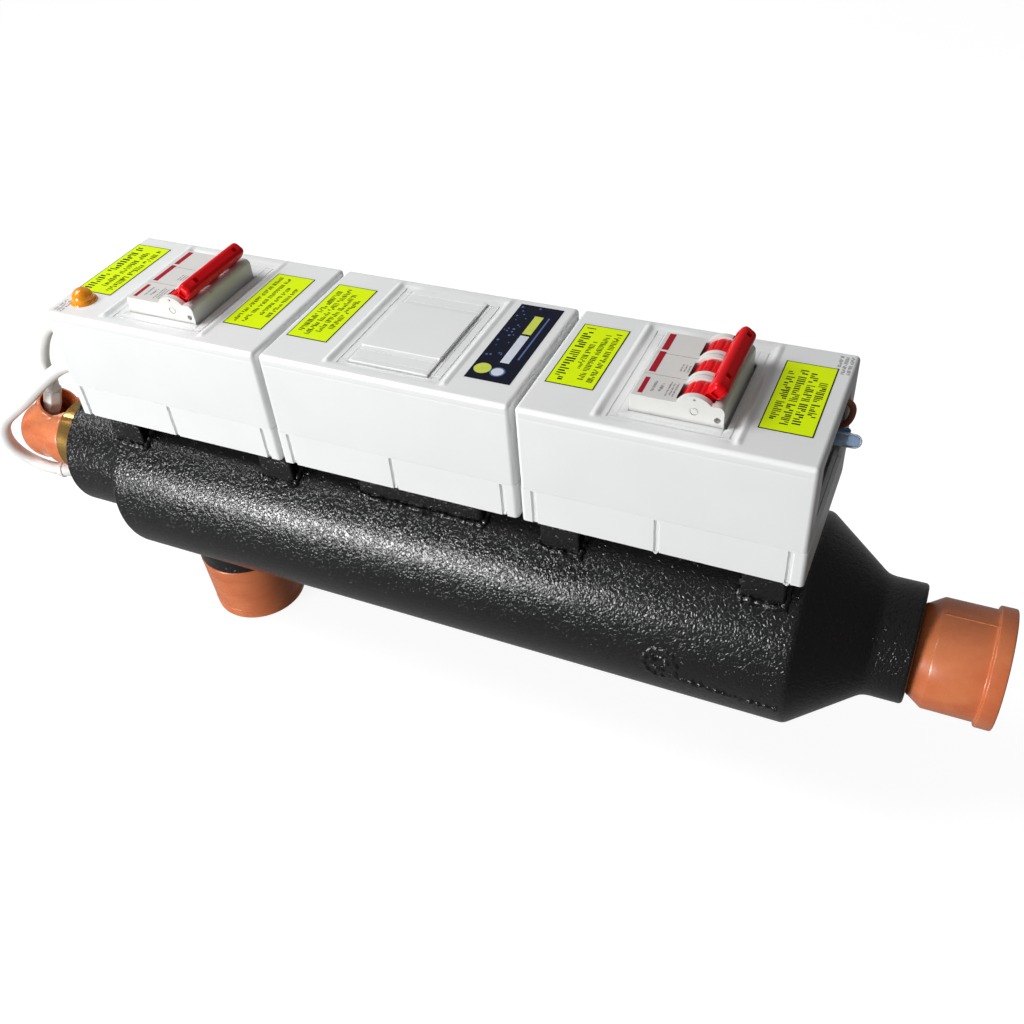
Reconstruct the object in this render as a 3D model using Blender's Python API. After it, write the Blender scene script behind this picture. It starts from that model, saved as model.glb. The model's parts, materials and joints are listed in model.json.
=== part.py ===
"""In-line electric pool heater: a steel vessel with three breaker enclosures on its back.

All sizes below are millimetres; meshes are written in metres. The origin is the centre of the
inlet coupling's mouth, +X runs along the vessel to the outlet and +Z is up.
"""

import math

import bmesh
import bpy
from mathutils import Matrix, Vector

MM = 0.001
GAP = 0.3

# Vessel
AXIS_Z = 108.0
TUBE_R = 57.15
WALL = 3.0
TUBE_X = (-42.6, 375.4)
CONE_END_X = 409.5
NECK_R = 31.5
NECK_END_X = 429.6
INLET_R = 32.2
INLET_TOP_Z = 60.0
COUPLING_TOP_Z = 45.1
SOCKET_R = 40.0
SOCKET_X = (-95.6, -42.9)
PIPE_BORE_R = 25.1
STOP_BORE_R = 21.0

# Outlet coupling, which sits a little off the vessel's axis
OUTLET_AXIS = (-1.5, 106.8)
OUTLET_X = (429.9, 471.9)

# Sensor fitting at the left end
BUSHING_R = 25.0
BUSHING_END_X = -118.6
NIPPLE_R = 15.6
ELBOW_CENTRE = Vector((-147.0, 0.0, 106.0))
ELBOW_MOUTH = Vector((-130.5, 0.0, 131.5))
ELBOW_R = 20.5
ELBOW_BORE_R = 11.5
ELBOW_RIM_R = 13.3
PLUG_FOOT = Vector((-140.1, 0.0, 121.4))
PLUG_AIM = Vector((0.404, 0.0, 0.915)).normalized()
PLUG_SIDES = 6

# Leads: the sensor's, and the loop that runs round under the elbow to the far side
LEAD_R = 4.3
LEAD_SPACING = 14.0
LEAD_ENTRY_X = -44.0
LEAD_ENTRY_Z = 184.8
LEAD_ENTRY_YS = (-13.0, 4.0, 21.0)
SENSOR_ROUTE = (
    *[PLUG_FOOT + PLUG_AIM * along for along in (15.4, 21.0, 28.0)],
    (-129.5, 0.8, 154.5), (-131.0, 2.0, 163.0), (-127.5, 3.0, 174.0), (-121.5, 4.0, 184.5),
    (-112.0, 4.0, 193.5), (-97.0, 4.0, 197.5), (-80.0, 4.0, 192.0), (-64.0, 4.0, 185.6),
    (-54.0, 4.0, LEAD_ENTRY_Z), (LEAD_ENTRY_X, 4.0, LEAD_ENTRY_Z),
)
LOOP_ROUTE = (
    (LEAD_ENTRY_X, -13.0, LEAD_ENTRY_Z), (-54.0, -13.0, LEAD_ENTRY_Z), (-65.0, -13.0, 184.5),
    (-80.0, -13.5, 182.0), (-97.0, -14.0, 175.0), (-115.0, -15.5, 162.0), (-138.0, -17.0, 143.0),
    (-163.8, -19.5, 122.5), (-173.5, -18.0, 105.5), (-173.5, -15.0, 91.5), (-164.5, -12.0, 81.5),
    (-149.0, -10.0, 77.5), (-132.0, -4.0, 77.5), (-120.0, 10.0, 77.0), (-112.0, 27.0, 84.0),
    (-108.0, 38.0, 104.0), (-103.0, 38.0, 130.0), (-92.0, 31.0, 157.0), (-77.0, 24.0, 176.0),
    (-64.0, 21.0, 183.5), (-54.0, 21.0, LEAD_ENTRY_Z), (LEAD_ENTRY_X, 21.0, LEAD_ENTRY_Z),
)

# Enclosures
BOX_CENTRES = (19.6, 162.4, 305.2)
BOX_HALF_X = 70.0
BASE_HALF_X = 70.4
BOX_HALF_Y = 46.0
BOX_WALL = 2.5
FLOOR_Z = 173.7
RIM_Z = 194.6
TOP_Z = 242.7
CORNER_R = 4.0
TOP_EDGE_R = 3.5
GROOVE_PITCH = 63.0
GROOVE_HALF = 1.3
GROOVE_DEPTH = 1.2
SCREW_Y = 30.0
SCREW_HOLE_R = 2.4

# Breakers
BREAKER_CENTRES = (20.2, 307.5)
BREAKER_Y = (-29.5, 24.5)
POLE_CENTRES = (-20.5, -2.5, 15.5)
NOSE_HALF = 22.0
FACE_Z = 251.2
SHOULDER_Z = 252.5
PIVOT_X = 8.3
PIVOT_Z = 246.0
HUMP_R = 9.9
DRUM_R = 8.9
DRUM_HALF = 5.5
PIN_R = 1.5
PIN_BORE_R = 1.8
HANDLE_ANGLE = math.radians(53.9)
HANDLE_REACH = 16.0
HANDLE_HALF = 4.1
TERMINAL_HOLE_R = 3.2
RAIL_TOP_Z = 184.0

# Saddles and heating elements
LEG_CENTRES = (-29.0, 78.0, 251.7, 356.5)
LEG_HALF_X = 11.0
LEG_HALF_Y = 39.0
PAD_X = (129.5, 207.0)
PAD_HALF_Y = 36.0
PAD_TOP_Z = 167.5
ELEMENT_R = 4.0
ELEMENT_Y = 28.0
ELEMENTS = ((145.0, 118.0, 20.0), (168.0, 88.0, 330.0), (191.0, 118.0, 345.0))
THERMOSTAT = (220.0, 34.0)

# Pilot lamp
LAMP = (-35.2, -29.0)
LAMP_R = 6.6

# Spare mains leads in the right-hand cover's side opening
SIDE_OPENING_Y = (-34.0, 28.0)
SIDE_OPENING_TOP = 235.0
WIRE_R = 1.6
BROWN_ROUTE = (
    (356.0, 25.0, 226.0), (368.0, 25.0, 230.5), (375.5, 24.5, 229.5), (377.6, 24.5, 225.0),
    (375.5, 24.0, 218.0), (368.0, 23.5, 213.0), (356.0, 23.0, 212.0),
)
BLUE_ROUTE = (
    (356.0, 8.0, 219.0), (368.0, 9.0, 222.5), (375.5, 10.5, 222.5), (377.6, 14.0, 221.0),
    (375.5, 17.5, 217.5), (368.0, 18.5, 214.0), (356.0, 18.5, 213.0),
)
CAP_CENTRE = (0.6, 226.0)
CAP_X = (362.0, 386.0)
CAP_R = 3.4

FINISHES = {
    "black_coat": ((0.02, 0.02, 0.022), 0.45, 0.0),
    "brown_pvc": ((0.42, 0.14, 0.07), 0.4, 0.0),
    "white_abs": ((0.82, 0.82, 0.82), 0.35, 0.0),
    "brass": ((0.8, 0.55, 0.22), 0.25, 1.0),
    "grey_plastic": ((0.7, 0.7, 0.68), 0.45, 0.0),
    "red_plastic": ((0.65, 0.02, 0.03), 0.3, 0.0),
    "zinc_steel": ((0.6, 0.6, 0.58), 0.35, 1.0),
    "element_steel": ((0.45, 0.43, 0.4), 0.35, 1.0),
    "amber_lens": ((0.9, 0.4, 0.03), 0.15, 0.0),
    "white_cable": ((0.8, 0.8, 0.79), 0.5, 0.0),
    "brown_wire": ((0.5, 0.22, 0.12), 0.45, 0.0),
    "blue_wire": ((0.05, 0.25, 0.45), 0.45, 0.0),
    "clear_cap": ((0.75, 0.8, 0.85), 0.15, 0.0),
}
AIMS = {"X": Vector((1, 0, 0)), "Y": Vector((0, 1, 0)), "Z": Vector((0, 0, 1))}


def clear_scene():
    for item in list(bpy.data.objects):
        bpy.data.objects.remove(item, do_unlink=True)


def material(name, finish):
    colour, roughness, metallic = FINISHES[finish]
    made = bpy.data.materials.new(name)
    made.use_nodes = True
    shader = made.node_tree.nodes["Principled BSDF"]
    shader.inputs["Base Color"].default_value = (*colour, 1.0)
    shader.inputs["Roughness"].default_value = roughness
    shader.inputs["Metallic"].default_value = metallic
    return made


def face_outwards(bm):
    bmesh.ops.recalc_face_normals(bm, faces=bm.faces)
    if bm.calc_volume(signed=True) < 0.0:
        bmesh.ops.reverse_faces(bm, faces=bm.faces)


def add(name, bm, finish, origin=(0.0, 0.0, 0.0)):
    """Turns a bmesh in millimetres into a named object whose origin is the given point."""
    face_outwards(bm)
    bm.transform(Matrix.Scale(MM, 4) @ Matrix.Translation(-Vector(origin)))
    mesh = bpy.data.meshes.new(name)
    bm.to_mesh(mesh)
    bm.free()
    mesh.materials.append(material(name, finish))
    mesh.shade_smooth()
    mesh.set_sharp_from_angle(angle=math.radians(35))
    made = bpy.data.objects.new(name, mesh)
    made.location = Vector(origin) * MM
    bpy.context.scene.collection.objects.link(made)
    return made


def combine(target, bm, operation):
    """A hidden tool solid and the Boolean that uses it on the target."""
    face_outwards(bm)
    bm.transform(Matrix.Scale(MM, 4))
    mesh = bpy.data.meshes.new("tool")
    bm.to_mesh(mesh)
    bm.free()
    tool = bpy.data.objects.new(f"tool_{target.name}_{len(target.modifiers)}", mesh)
    tool.display_type = "WIRE"
    tool.hide_render = True
    bpy.context.scene.collection.objects.link(tool)
    step = target.modifiers.new(operation.lower(), "BOOLEAN")
    step.operation = operation
    step.object = tool


def joined(solids):
    """One bmesh that holds several solids which don't touch."""
    whole = bmesh.new()
    for bm in solids:
        mesh = bpy.data.meshes.new("part")
        bm.to_mesh(mesh)
        bm.free()
        whole.from_mesh(mesh)
        bpy.data.meshes.remove(mesh)
    return whole


def cut(target, *solids):
    for bm in solids:
        combine(target, bm, "DIFFERENCE")


def fuse(target, *solids):
    for bm in solids:
        combine(target, bm, "UNION")


def block(low, high, corner=0.0, top=0.0, steps=2):
    """A box between two corners, its upright edges and its top edges rounded if asked."""
    low, high = Vector(low), Vector(high)
    size = high - low
    bm = bmesh.new()
    place = Matrix.Translation((low + high) / 2) @ Matrix.Diagonal((*size, 1.0))
    bmesh.ops.create_cube(bm, size=1.0, matrix=place)
    if corner:
        upright = [e for e in bm.edges if abs(e.verts[0].co.z - e.verts[1].co.z) > size.z / 2]
        bmesh.ops.bevel(bm, geom=upright, offset=corner, segments=steps, profile=0.5, affect="EDGES")
    if top:
        rim = [e for e in bm.edges if min(v.co.z for v in e.verts) > high.z - 1e-4]
        bmesh.ops.bevel(bm, geom=rim, offset=top, segments=steps, profile=0.5, affect="EDGES")
    return bm


def prism(outline, low_y, high_y):
    """An outline of (x, z) points extruded along Y."""
    bm = bmesh.new()
    face = bm.faces.new([bm.verts.new((x, low_y, z)) for x, z in outline])
    grown = bmesh.ops.extrude_face_region(bm, geom=[face])
    moved = [v for v in grown["geom"] if isinstance(v, bmesh.types.BMVert)]
    bmesh.ops.translate(bm, verts=moved, vec=(0.0, high_y - low_y, 0.0))
    bmesh.ops.triangulate(bm, faces=[f for f in bm.faces if len(f.verts) > 4])
    return bm


def turned(profile, direction="Z", centre=(0.0, 0.0, 0.0), sides=24):
    """A closed outline of (radius, height) points turned about a direction through centre."""
    bm = bmesh.new()
    rings = []
    for radius, height in profile:
        angles = [2.0 * math.pi * k / sides for k in range(sides if radius else 1)]
        spots = [(radius * math.cos(a), radius * math.sin(a), height) for a in angles]
        rings.append([bm.verts.new(spot) for spot in spots])
    for here, there in zip(rings, rings[1:] + rings[:1]):
        wide, flat = max(here, there, key=len), here[0].co.z == there[0].co.z
        if len(here) == len(there) == 1:
            continue
        if flat and min(len(here), len(there)) == 1:
            bm.faces.new(wide)
            continue
        for k in range(sides):
            after = (k + 1) % sides
            around = ((here, k), (here, after), (there, after), (there, k))
            bm.faces.new(list(dict.fromkeys(ring[j % len(ring)] for ring, j in around)))
    bmesh.ops.delete(bm, geom=[v for v in bm.verts if not v.link_faces], context="VERTS")
    aim = AIMS[direction] if isinstance(direction, str) else direction
    turn = Vector((0, 0, 1)).rotation_difference(aim).to_matrix().to_4x4()
    bm.transform(Matrix.Translation(centre) @ turn)
    return bm


def rod(radius, low, high, direction="Z", centre=(0.0, 0.0, 0.0), sides=16):
    profile = [(0.0, low), (radius, low), (radius, high), (0.0, high)]
    return turned(profile, direction, centre, sides)


def arc(centre, radius, start, end, steps):
    """Points of an arc, with its angles in degrees."""
    angles = [math.radians(start + (end - start) * k / steps) for k in range(steps + 1)]
    return [(centre[0] + radius * math.cos(a), centre[1] + radius * math.sin(a)) for a in angles]


def smooth_route(points, spacing):
    """Evenly spaced points on a Catmull-Rom curve through the given ones."""
    knots = [Vector(p) for p in points]
    knots = [knots[0] * 2 - knots[1], *knots, knots[-1] * 2 - knots[-2]]
    fine = []
    for a, b, c, d in zip(knots, knots[1:], knots[2:], knots[3:]):
        for k in range(16):
            t = k / 16
            fine.append(((2 * b) + (c - a) * t + (2 * a - 5 * b + 4 * c - d) * t * t
                         + (3 * b - a - 3 * c + d) * t * t * t) / 2)
    fine.append(knots[-2])
    length = sum((q - p).length for p, q in zip(fine, fine[1:]))
    count = max(2, round(length / spacing))
    route, travelled, wanted = [fine[0]], 0.0, length / count
    for p, q in zip(fine, fine[1:]):
        step = (q - p).length
        while travelled + step > wanted * len(route) and len(route) < count:
            route.append(p.lerp(q, (wanted * len(route) - travelled) / step))
        travelled += step
    return [*route, fine[-1]]


def tube_along(name, points, radius, finish, resolution=2, spacing=None):
    """A round cord or rod as a bevelled curve through the given points."""
    route = smooth_route(points, spacing or 5.0 * radius)
    data = bpy.data.curves.new(name, "CURVE")
    data.dimensions = "3D"
    data.bevel_depth = radius * MM
    data.bevel_resolution = resolution
    data.use_fill_caps = True
    spline = data.splines.new("POLY")
    spline.points.add(len(route) - 1)
    for point, place in zip(spline.points, route):
        point.co = (*(place * MM), 1.0)
    data.materials.append(material(name, finish))
    made = bpy.data.objects.new(name, data)
    bpy.context.scene.collection.objects.link(made)
    return made


def vessel_cutter(extra):
    """The round form of the tube, a little larger, for the saddles that sit on it."""
    return rod(TUBE_R + extra, TUBE_X[0] - 40, TUBE_X[1] + 40, "X", (0, 0, AXIS_Z), 40)


def element_holes(radius):
    holes = []
    for x, _, _ in ELEMENTS:
        for y in (-ELEMENT_Y, ELEMENT_Y):
            holes.append(rod(radius, 120.0, 200.0, "Z", (x, y, 0), 10))
    return holes


def build_vessel():
    inner = TUBE_R - WALL
    axis = (0, 0, AXIS_Z)
    left, right = TUBE_X
    hole = SOCKET_R - WALL
    shell = [(hole, left), (TUBE_R, left), (TUBE_R, right), (inner, right), (inner, left + 4),
             (hole, left + 4)]
    tube = add("vessel_tube", turned(shell, "X", axis, 40), "black_coat")
    cut(tube, rod(INLET_R - WALL, 20.0, 90.0, "Z"), *element_holes(ELEMENT_R + 1.0))

    start = right + GAP
    cone = [(TUBE_R, start), (TUBE_R, start + 1.0), (NECK_R, CONE_END_X), (NECK_R, NECK_END_X),
            (NECK_R - WALL, NECK_END_X), (NECK_R - WALL, CONE_END_X), (inner, start + 1.0), (inner, start)]
    add("outlet_reducer", turned(cone, "X", axis, 40), "black_coat")

    stub = [(INLET_R - WALL, COUPLING_TOP_Z + GAP), (INLET_R, COUPLING_TOP_Z + GAP),
            (INLET_R, INLET_TOP_Z + 10), (INLET_R - WALL, INLET_TOP_Z + 10)]
    inlet = add("inlet_stub", turned(stub, "Z", sides=32), "black_coat")
    cut(inlet, vessel_cutter(GAP))

    collar = [(BUSHING_R + GAP, SOCKET_X[0]), (SOCKET_R, SOCKET_X[0]), (SOCKET_R, SOCKET_X[1]),
              (BUSHING_R + GAP, SOCKET_X[1])]
    add("end_socket", turned(collar, "X", axis, 32), "black_coat")


def build_couplings():
    y, z = OUTLET_AXIS
    low, high = OUTLET_X
    outlet = [(STOP_BORE_R, low), (24.0, low), (28.9, 438.0), (28.9, 463.9), (31.1, 463.9), (31.1, high),
              (PIPE_BORE_R, high), (PIPE_BORE_R, 441.0), (STOP_BORE_R, 441.0)]
    add("outlet_coupling", turned(outlet, "X", (0, y, z), 32), "brown_pvc")
    inlet = [(STOP_BORE_R, 34.0), (PIPE_BORE_R, 34.0), (PIPE_BORE_R, 0.0), (30.7, 0.0), (31.0, 5.0),
             (32.5, 44.0), (31.5, COUPLING_TOP_Z), (STOP_BORE_R, COUPLING_TOP_Z)]
    add("inlet_coupling", turned(inlet, "Z", sides=32), "brown_pvc")


def build_sensor_fitting():
    axis = (0, 0, AXIS_Z)
    end = BUSHING_END_X
    bushing = [(11.0, end - 7), (NIPPLE_R, end - 7), (NIPPLE_R, end), (BUSHING_R, end), (BUSHING_R, -60.0),
               (11.0, -60.0)]
    add("sensor_bushing", turned(bushing, "X", axis, 32), "brass")

    aim = ELBOW_MOUTH - ELBOW_CENTRE
    reach = aim.length
    ball = bmesh.new()
    bmesh.ops.create_uvsphere(ball, u_segments=24, v_segments=12, radius=ELBOW_R,
                              matrix=Matrix.Translation(ELBOW_CENTRE))
    elbow = add("sensor_elbow", ball, "brown_pvc")
    arm = [(0.0, ELBOW_CENTRE.x), (20.0, ELBOW_CENTRE.x), (22.2, -132.0), (23.6, -130.5), (23.6, end - GAP),
           (0.0, end - GAP)]
    mouth = [(0.0, 1.0), (18.0, 1.0), (ELBOW_RIM_R, reach - 6), (ELBOW_RIM_R, reach), (0.0, reach)]
    fuse(elbow, turned(arm, "X", axis, 26), turned(mouth, aim, ELBOW_CENTRE, 26))
    cut(elbow, rod(ELBOW_BORE_R, 0.5, reach + 5, aim, ELBOW_CENTRE, 21),
        rod(NIPPLE_R + GAP, ELBOW_CENTRE.x - 2, end + 5, "X", axis, 24))

    bore = (LEAD_R + GAP) / math.cos(math.pi / PLUG_SIDES)
    plug = [(0.0, 0.0), (4.4, 0.0), (6.2, 6.0), (6.2, 21.0), (bore + 0.7, 24.5), (bore, 24.5),
            (bore, 15.0), (0.0, 15.0)]
    add("sensor_plug", turned(plug, PLUG_AIM, PLUG_FOOT, PLUG_SIDES), "white_abs")


def build_leads():
    """The two white leads, and the sleeve where the loop passes under the elbow."""
    tube_along("sensor_lead", SENSOR_ROUTE, LEAD_R, "white_cable", spacing=LEAD_SPACING)
    tube_along("loop_lead", LOOP_ROUTE, LEAD_R, "white_cable", spacing=LEAD_SPACING)
    route = smooth_route(LOOP_ROUTE, LEAD_SPACING)
    lowest = min(range(len(route) - 1), key=lambda k: (route[k].z + route[k + 1].z))
    start, end = route[lowest - 1], route[lowest]
    sleeve = [(LEAD_R + 0.5, -4.0), (LEAD_R + 1.7, -4.0), (LEAD_R + 1.7, 4.0), (LEAD_R + 0.5, 4.0)]
    add("lead_sleeve", turned(sleeve, end - start, (start + end) / 2, 16), "white_abs")


def base_floor_openings(index):
    """Slots in the middle floor for the element terminals, and a hole for the thermostat."""
    if index != 1:
        return []
    slots = [block((138, s * 29 - 6.5, 160), (198, s * 29 + 6.5, 190)) for s in (-1, 1)]
    return [*slots, rod(7.3, 160, 190, "Z", (*THERMOSTAT, 0), 16)]


def lead_holes(index):
    """Round holes in the outer end walls for the leads."""
    if index == 0:
        return [rod(LEAD_R + GAP, -60, -40, "X", (0, y, LEAD_ENTRY_Z), 14) for y in LEAD_ENTRY_YS]
    return []


def build_base(index):
    centre = BOX_CENTRES[index]
    name = f"box_base_{index + 1}"
    lip_x, lip_y = BOX_HALF_X - BOX_WALL - 0.4, BOX_HALF_Y - BOX_WALL - 0.4
    low, high = (centre - BASE_HALF_X, -BOX_HALF_Y, FLOOR_Z), (centre + BASE_HALF_X, BOX_HALF_Y, RIM_Z)
    outer = block(low, high, CORNER_R)
    base = add(name, outer, "white_abs", (centre, 0, FLOOR_Z))
    tongue = block((centre - lip_x, -lip_y, RIM_Z - 6), (centre + lip_x, lip_y, RIM_Z + 3.5), CORNER_R - 1.0)
    fuse(base, tongue)
    lip_x, lip_y = lip_x - 1.6, lip_y - 1.6
    inner_x, inner_y = BASE_HALF_X - BOX_WALL, BOX_HALF_Y - BOX_WALL
    cut(base,
        block((centre - inner_x, -inner_y, FLOOR_Z + BOX_WALL), (centre + inner_x, inner_y, RIM_Z - 5), 1.5),
        block((centre - lip_x, -lip_y, RIM_Z - 8), (centre + lip_x, lip_y, RIM_Z + 9), 1.5))
    for side in (-1, 1):
        face = side * (BOX_HALF_Y + 1)
        depth = side * (BOX_HALF_Y - GROOVE_DEPTH)
        for shift in (-GROOVE_PITCH, 0.0, GROOVE_PITCH):
            x = centre + shift
            low = (x - GROOVE_HALF, min(face, depth), FLOOR_Z - 1)
            high = (x + GROOVE_HALF, max(face, depth), RIM_Z - 0.8)
            cut(base, block(low, high))
    cut(base, *base_floor_openings(index), *lead_holes(index))
    for x, y in screw_places(index):
        cut(base, rod(SCREW_HOLE_R, 160, 190, "Z", (x, y, 0), 10))


def build_cover(index):
    centre = BOX_CENTRES[index]
    low_z = RIM_Z + GAP
    shell = block((centre - BOX_HALF_X, -BOX_HALF_Y, low_z), (centre + BOX_HALF_X, BOX_HALF_Y, TOP_Z),
                  CORNER_R, TOP_EDGE_R)
    cover = add(f"box_cover_{index + 1}", shell, "white_abs", (centre, 0, TOP_Z))
    inner_x, inner_y = BOX_HALF_X - BOX_WALL, BOX_HALF_Y - BOX_WALL
    cut(cover, block((centre - inner_x, -inner_y, low_z - 2), (centre + inner_x, inner_y, TOP_Z - BOX_WALL),
                     CORNER_R - 1.5, 1.5))
    if index == 1:
        cut(cover, block((centre - 22.5, -35.5, 220), (centre + 22.5, 35.5, 260)))
        return
    middle = BREAKER_CENTRES[index // 2]
    cut(cover, block((middle - NOSE_HALF - 0.5, BREAKER_Y[0] - 0.5, 220),
                     (middle + NOSE_HALF + 1.6, BREAKER_Y[1] + 0.5, 260)))
    if index == 0:
        cut(cover, rod(LAMP_R - 1.6, 220, 260, "Z", (*LAMP, 0), 16))
    else:
        low_y, high_y = SIDE_OPENING_Y
        cut(cover, block((360, low_y, low_z - 3), (390, high_y, SIDE_OPENING_TOP)))


def build_blanking_plate():
    centre = BOX_CENTRES[1]
    sheet = block((centre - 22.2, -35.2, TOP_Z - 2.2), (centre + 22.2, 35.2, TOP_Z + 0.6))
    plate = add("blanking_plate", sheet, "white_abs")
    fuse(plate, block((centre - 21.4, -21.0, TOP_Z - 1), (centre + 21.4, 21.0, TOP_Z + 1.4), 0, 0.6, 2))


def build_rail(index):
    """A top-hat rail across the box under what clips to it."""
    centre = BOX_CENTRES[index] if index == 1 else BREAKER_CENTRES[index // 2]
    half = 20.0 if index == 1 else 42.0
    foot, lip, top = FLOOR_Z + BOX_WALL + GAP, 17.5, RAIL_TOP_Z
    outline = [(-13.5, foot), (13.5, foot), (13.5, top - 1), (lip, top - 1), (lip, top), (12.5, top),
               (12.5, foot + 1), (-12.5, foot + 1), (-12.5, top), (-lip, top), (-lip, top - 1),
               (-13.5, top - 1)]
    add(f"din_rail_{index + 1}", prism([(centre + x, z) for x, z in outline], -half, half), "zinc_steel")


def rail_foot(half, low=178.0):
    """The underside of a device that clips over the rail's two lips, from +half to -half."""
    notch, roof = 18.0, RAIL_TOP_Z + GAP
    return [(half, low), (notch, low), (notch, roof), (-notch, roof), (-notch, low), (-half, low)]


def build_breaker(index):
    centre = BREAKER_CENTRES[index]
    hump_start = 180.0 - math.degrees(math.asin((FACE_Z - PIVOT_Z) / HUMP_R))
    hump = arc((PIVOT_X, PIVOT_Z), HUMP_R, 40.0, hump_start, 8)
    outline = [*rail_foot(39.0), (-39.0, 224.0), (-NOSE_HALF, 224.0), (-NOSE_HALF, FACE_Z - 1.0),
               (-NOSE_HALF + 1.0, FACE_Z), *reversed(hump), (18.4, SHOULDER_Z), (20.2, SHOULDER_Z - 0.2),
               (21.6, SHOULDER_Z - 1.8), (NOSE_HALF, 247.5), (NOSE_HALF, 224.0), (39.0, 224.0)]
    solid = prism([(centre + x, z) for x, z in outline], *BREAKER_Y)
    body = add(f"breaker_{index + 1}", solid, "grey_plastic")
    pivot = (centre + PIVOT_X, 0, PIVOT_Z)
    reach = DRUM_HALF + 0.5
    slots = [rod(HUMP_R + 0.6, y - reach, y + reach, "Y", pivot, 20) for y in POLE_CENTRES]
    cut(body, rod(PIN_BORE_R, BREAKER_Y[0] - 2, BREAKER_Y[1] + 2, "Y", pivot, 10), joined(slots))
    terminals = [(centre + x, y, 0) for x in (-30.0, 30.0) for y in POLE_CENTRES]
    cut(body, joined([rod(TERMINAL_HOLE_R, 214, 230, "Z", place, 8) for place in terminals]))


def build_toggle(index):
    """Three rocker drums on one pin, joined by the handle bar that spans them."""
    pivot = Vector((BREAKER_CENTRES[index] + PIVOT_X, 0, PIVOT_Z))
    name = f"toggle_{index + 1}"
    lean = Matrix.Translation(pivot) @ Matrix.Rotation(math.pi / 2 - HANDLE_ANGLE, 4, "Y")
    near, far = HANDLE_REACH - HANDLE_HALF, HANDLE_REACH + HANDLE_HALF
    bar = block((-HANDLE_HALF, -28.0, near), (HANDLE_HALF, 23.0, far))
    bmesh.ops.bevel(bar, geom=list(bar.edges), offset=3.0, segments=2, profile=0.5, affect="EDGES")
    bar.transform(lean)
    toggle = add(name, bar, "red_plastic", pivot)
    for y in POLE_CENTRES:
        stem = block((-2.6, y - 4.5, 2.0), (2.6, y + 4.5, HANDLE_REACH))
        stem.transform(lean)
        drum = rod(DRUM_R, y - DRUM_HALF, y + DRUM_HALF, "Y", pivot, 20)
        fuse(toggle, drum, stem)
    cut(toggle, rod(PIN_BORE_R, -40, 40, "Y", pivot, 10))
    pin = rod(PIN_R, BREAKER_Y[0] + 0.4, BREAKER_Y[1] - 0.4, "Y", pivot, 10)
    add(f"toggle_pin_{index + 1}", pin, "zinc_steel")


def build_contactor():
    centre = BOX_CENTRES[1]
    outline = [*rail_foot(40.0), (-40.0, 216.0), (-24.0, 216.0), (-24.0, 234.0), (24.0, 234.0), (24.0, 216.0),
               (40.0, 216.0)]
    body = add("contactor", prism([(centre + x, z) for x, z in outline], -18.5, 18.5), "grey_plastic")
    terminals = [(centre + x, y, 0) for x in (-32.0, 32.0) for y in (-12.0, 0.0, 12.0)]
    cut(body, joined([rod(TERMINAL_HOLE_R, 206, 220, "Z", place, 8) for place in terminals]))


def build_terminal_block(number, centre):
    outline = [*rail_foot(24.0), (-24.0, 206.0), (-12.0, 214.0), (12.0, 214.0), (24.0, 206.0)]
    solid = prism([(centre + x, z) for x, z in outline], 26.0, 40.0)
    body = add(f"terminal_block_{number}", solid, "grey_plastic")
    for x in (-7.0, 7.0):
        cut(body, rod(SCREW_HOLE_R, 200, 220, "Z", (centre + x, 33.0, 0), 16))


def build_lamp():
    low, high = TOP_Z - 18.0, TOP_Z + GAP
    slopes = [math.radians(angle) for angle in (20, 40, 60, 76)]
    round_top = [(LAMP_R * math.cos(a), high + 1.4 + 6.2 * math.sin(a)) for a in slopes]
    dome = [(0.0, high), (LAMP_R, high), (LAMP_R, high + 1.4), *round_top, (0.0, high + 7.6)]
    add("lamp_lens", turned(dome, "Z", (*LAMP, 0), 20), "amber_lens")
    body = [(0.0, low), (LAMP_R - 2.0, low), (LAMP_R - 2.0, TOP_Z), (0.0, TOP_Z)]
    add("lamp_body", turned(body, "Z", (*LAMP, 0), 12), "grey_plastic")
    ceiling = TOP_Z - BOX_WALL - GAP
    inner, outer = LAMP_R - 1.0, LAMP_R + 2.6
    nut = [(inner, ceiling - 4), (outer, ceiling - 4), (outer, ceiling), (inner, ceiling)]
    add("lamp_nut", turned(nut, "Z", (*LAMP, 0), 6), "grey_plastic")


def build_elements():
    solid = block((PAD_X[0], -PAD_HALF_Y, 130), (PAD_X[1], PAD_HALF_Y, PAD_TOP_Z), 3.0)
    pad = add("element_neck", solid, "black_coat")
    cut(pad, vessel_cutter(GAP), *element_holes(ELEMENT_R + 1.0))
    plate = block((PAD_X[0] + 3, -33, PAD_TOP_Z + GAP), (PAD_X[1] - 3, 33, PAD_TOP_Z + 5.6), 3.0)
    flange = add("element_flange", plate, "zinc_steel")
    cut(flange, *element_holes(ELEMENT_R + GAP))
    for x, y in screw_places(1):
        cut(flange, rod(SCREW_HOLE_R, 160, 190, "Z", (x, y, 0), 10))
        cut(pad, rod(SCREW_HOLE_R, 166, 190, "Z", (x, y, 0), 10))
    for number, (x, z, end) in enumerate(ELEMENTS, 1):
        way = 1 if end > x else -1
        turn = end - way * 22
        half = [(x, ELEMENT_Y, 187.0), (x, ELEMENT_Y, 175.0), (x, ELEMENT_Y, z + 32), (x, ELEMENT_Y, z + 16),
                (x + way * 5, ELEMENT_Y, z + 5), (x + way * 16, ELEMENT_Y, z), (x + way * 32, ELEMENT_Y, z),
                ((x + turn) / 2, ELEMENT_Y, z), (turn - way * 6, ELEMENT_Y, z), (turn + way * 12, 25.0, z),
                (turn + way * 24, 13.0, z)]
        route = [*half, (turn + way * 28, 0.0, z), *[(px, -py, pz) for px, py, pz in reversed(half)]]
        tube_along(f"heating_element_{number}", route, ELEMENT_R, "element_steel", spacing=20.0)


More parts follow.
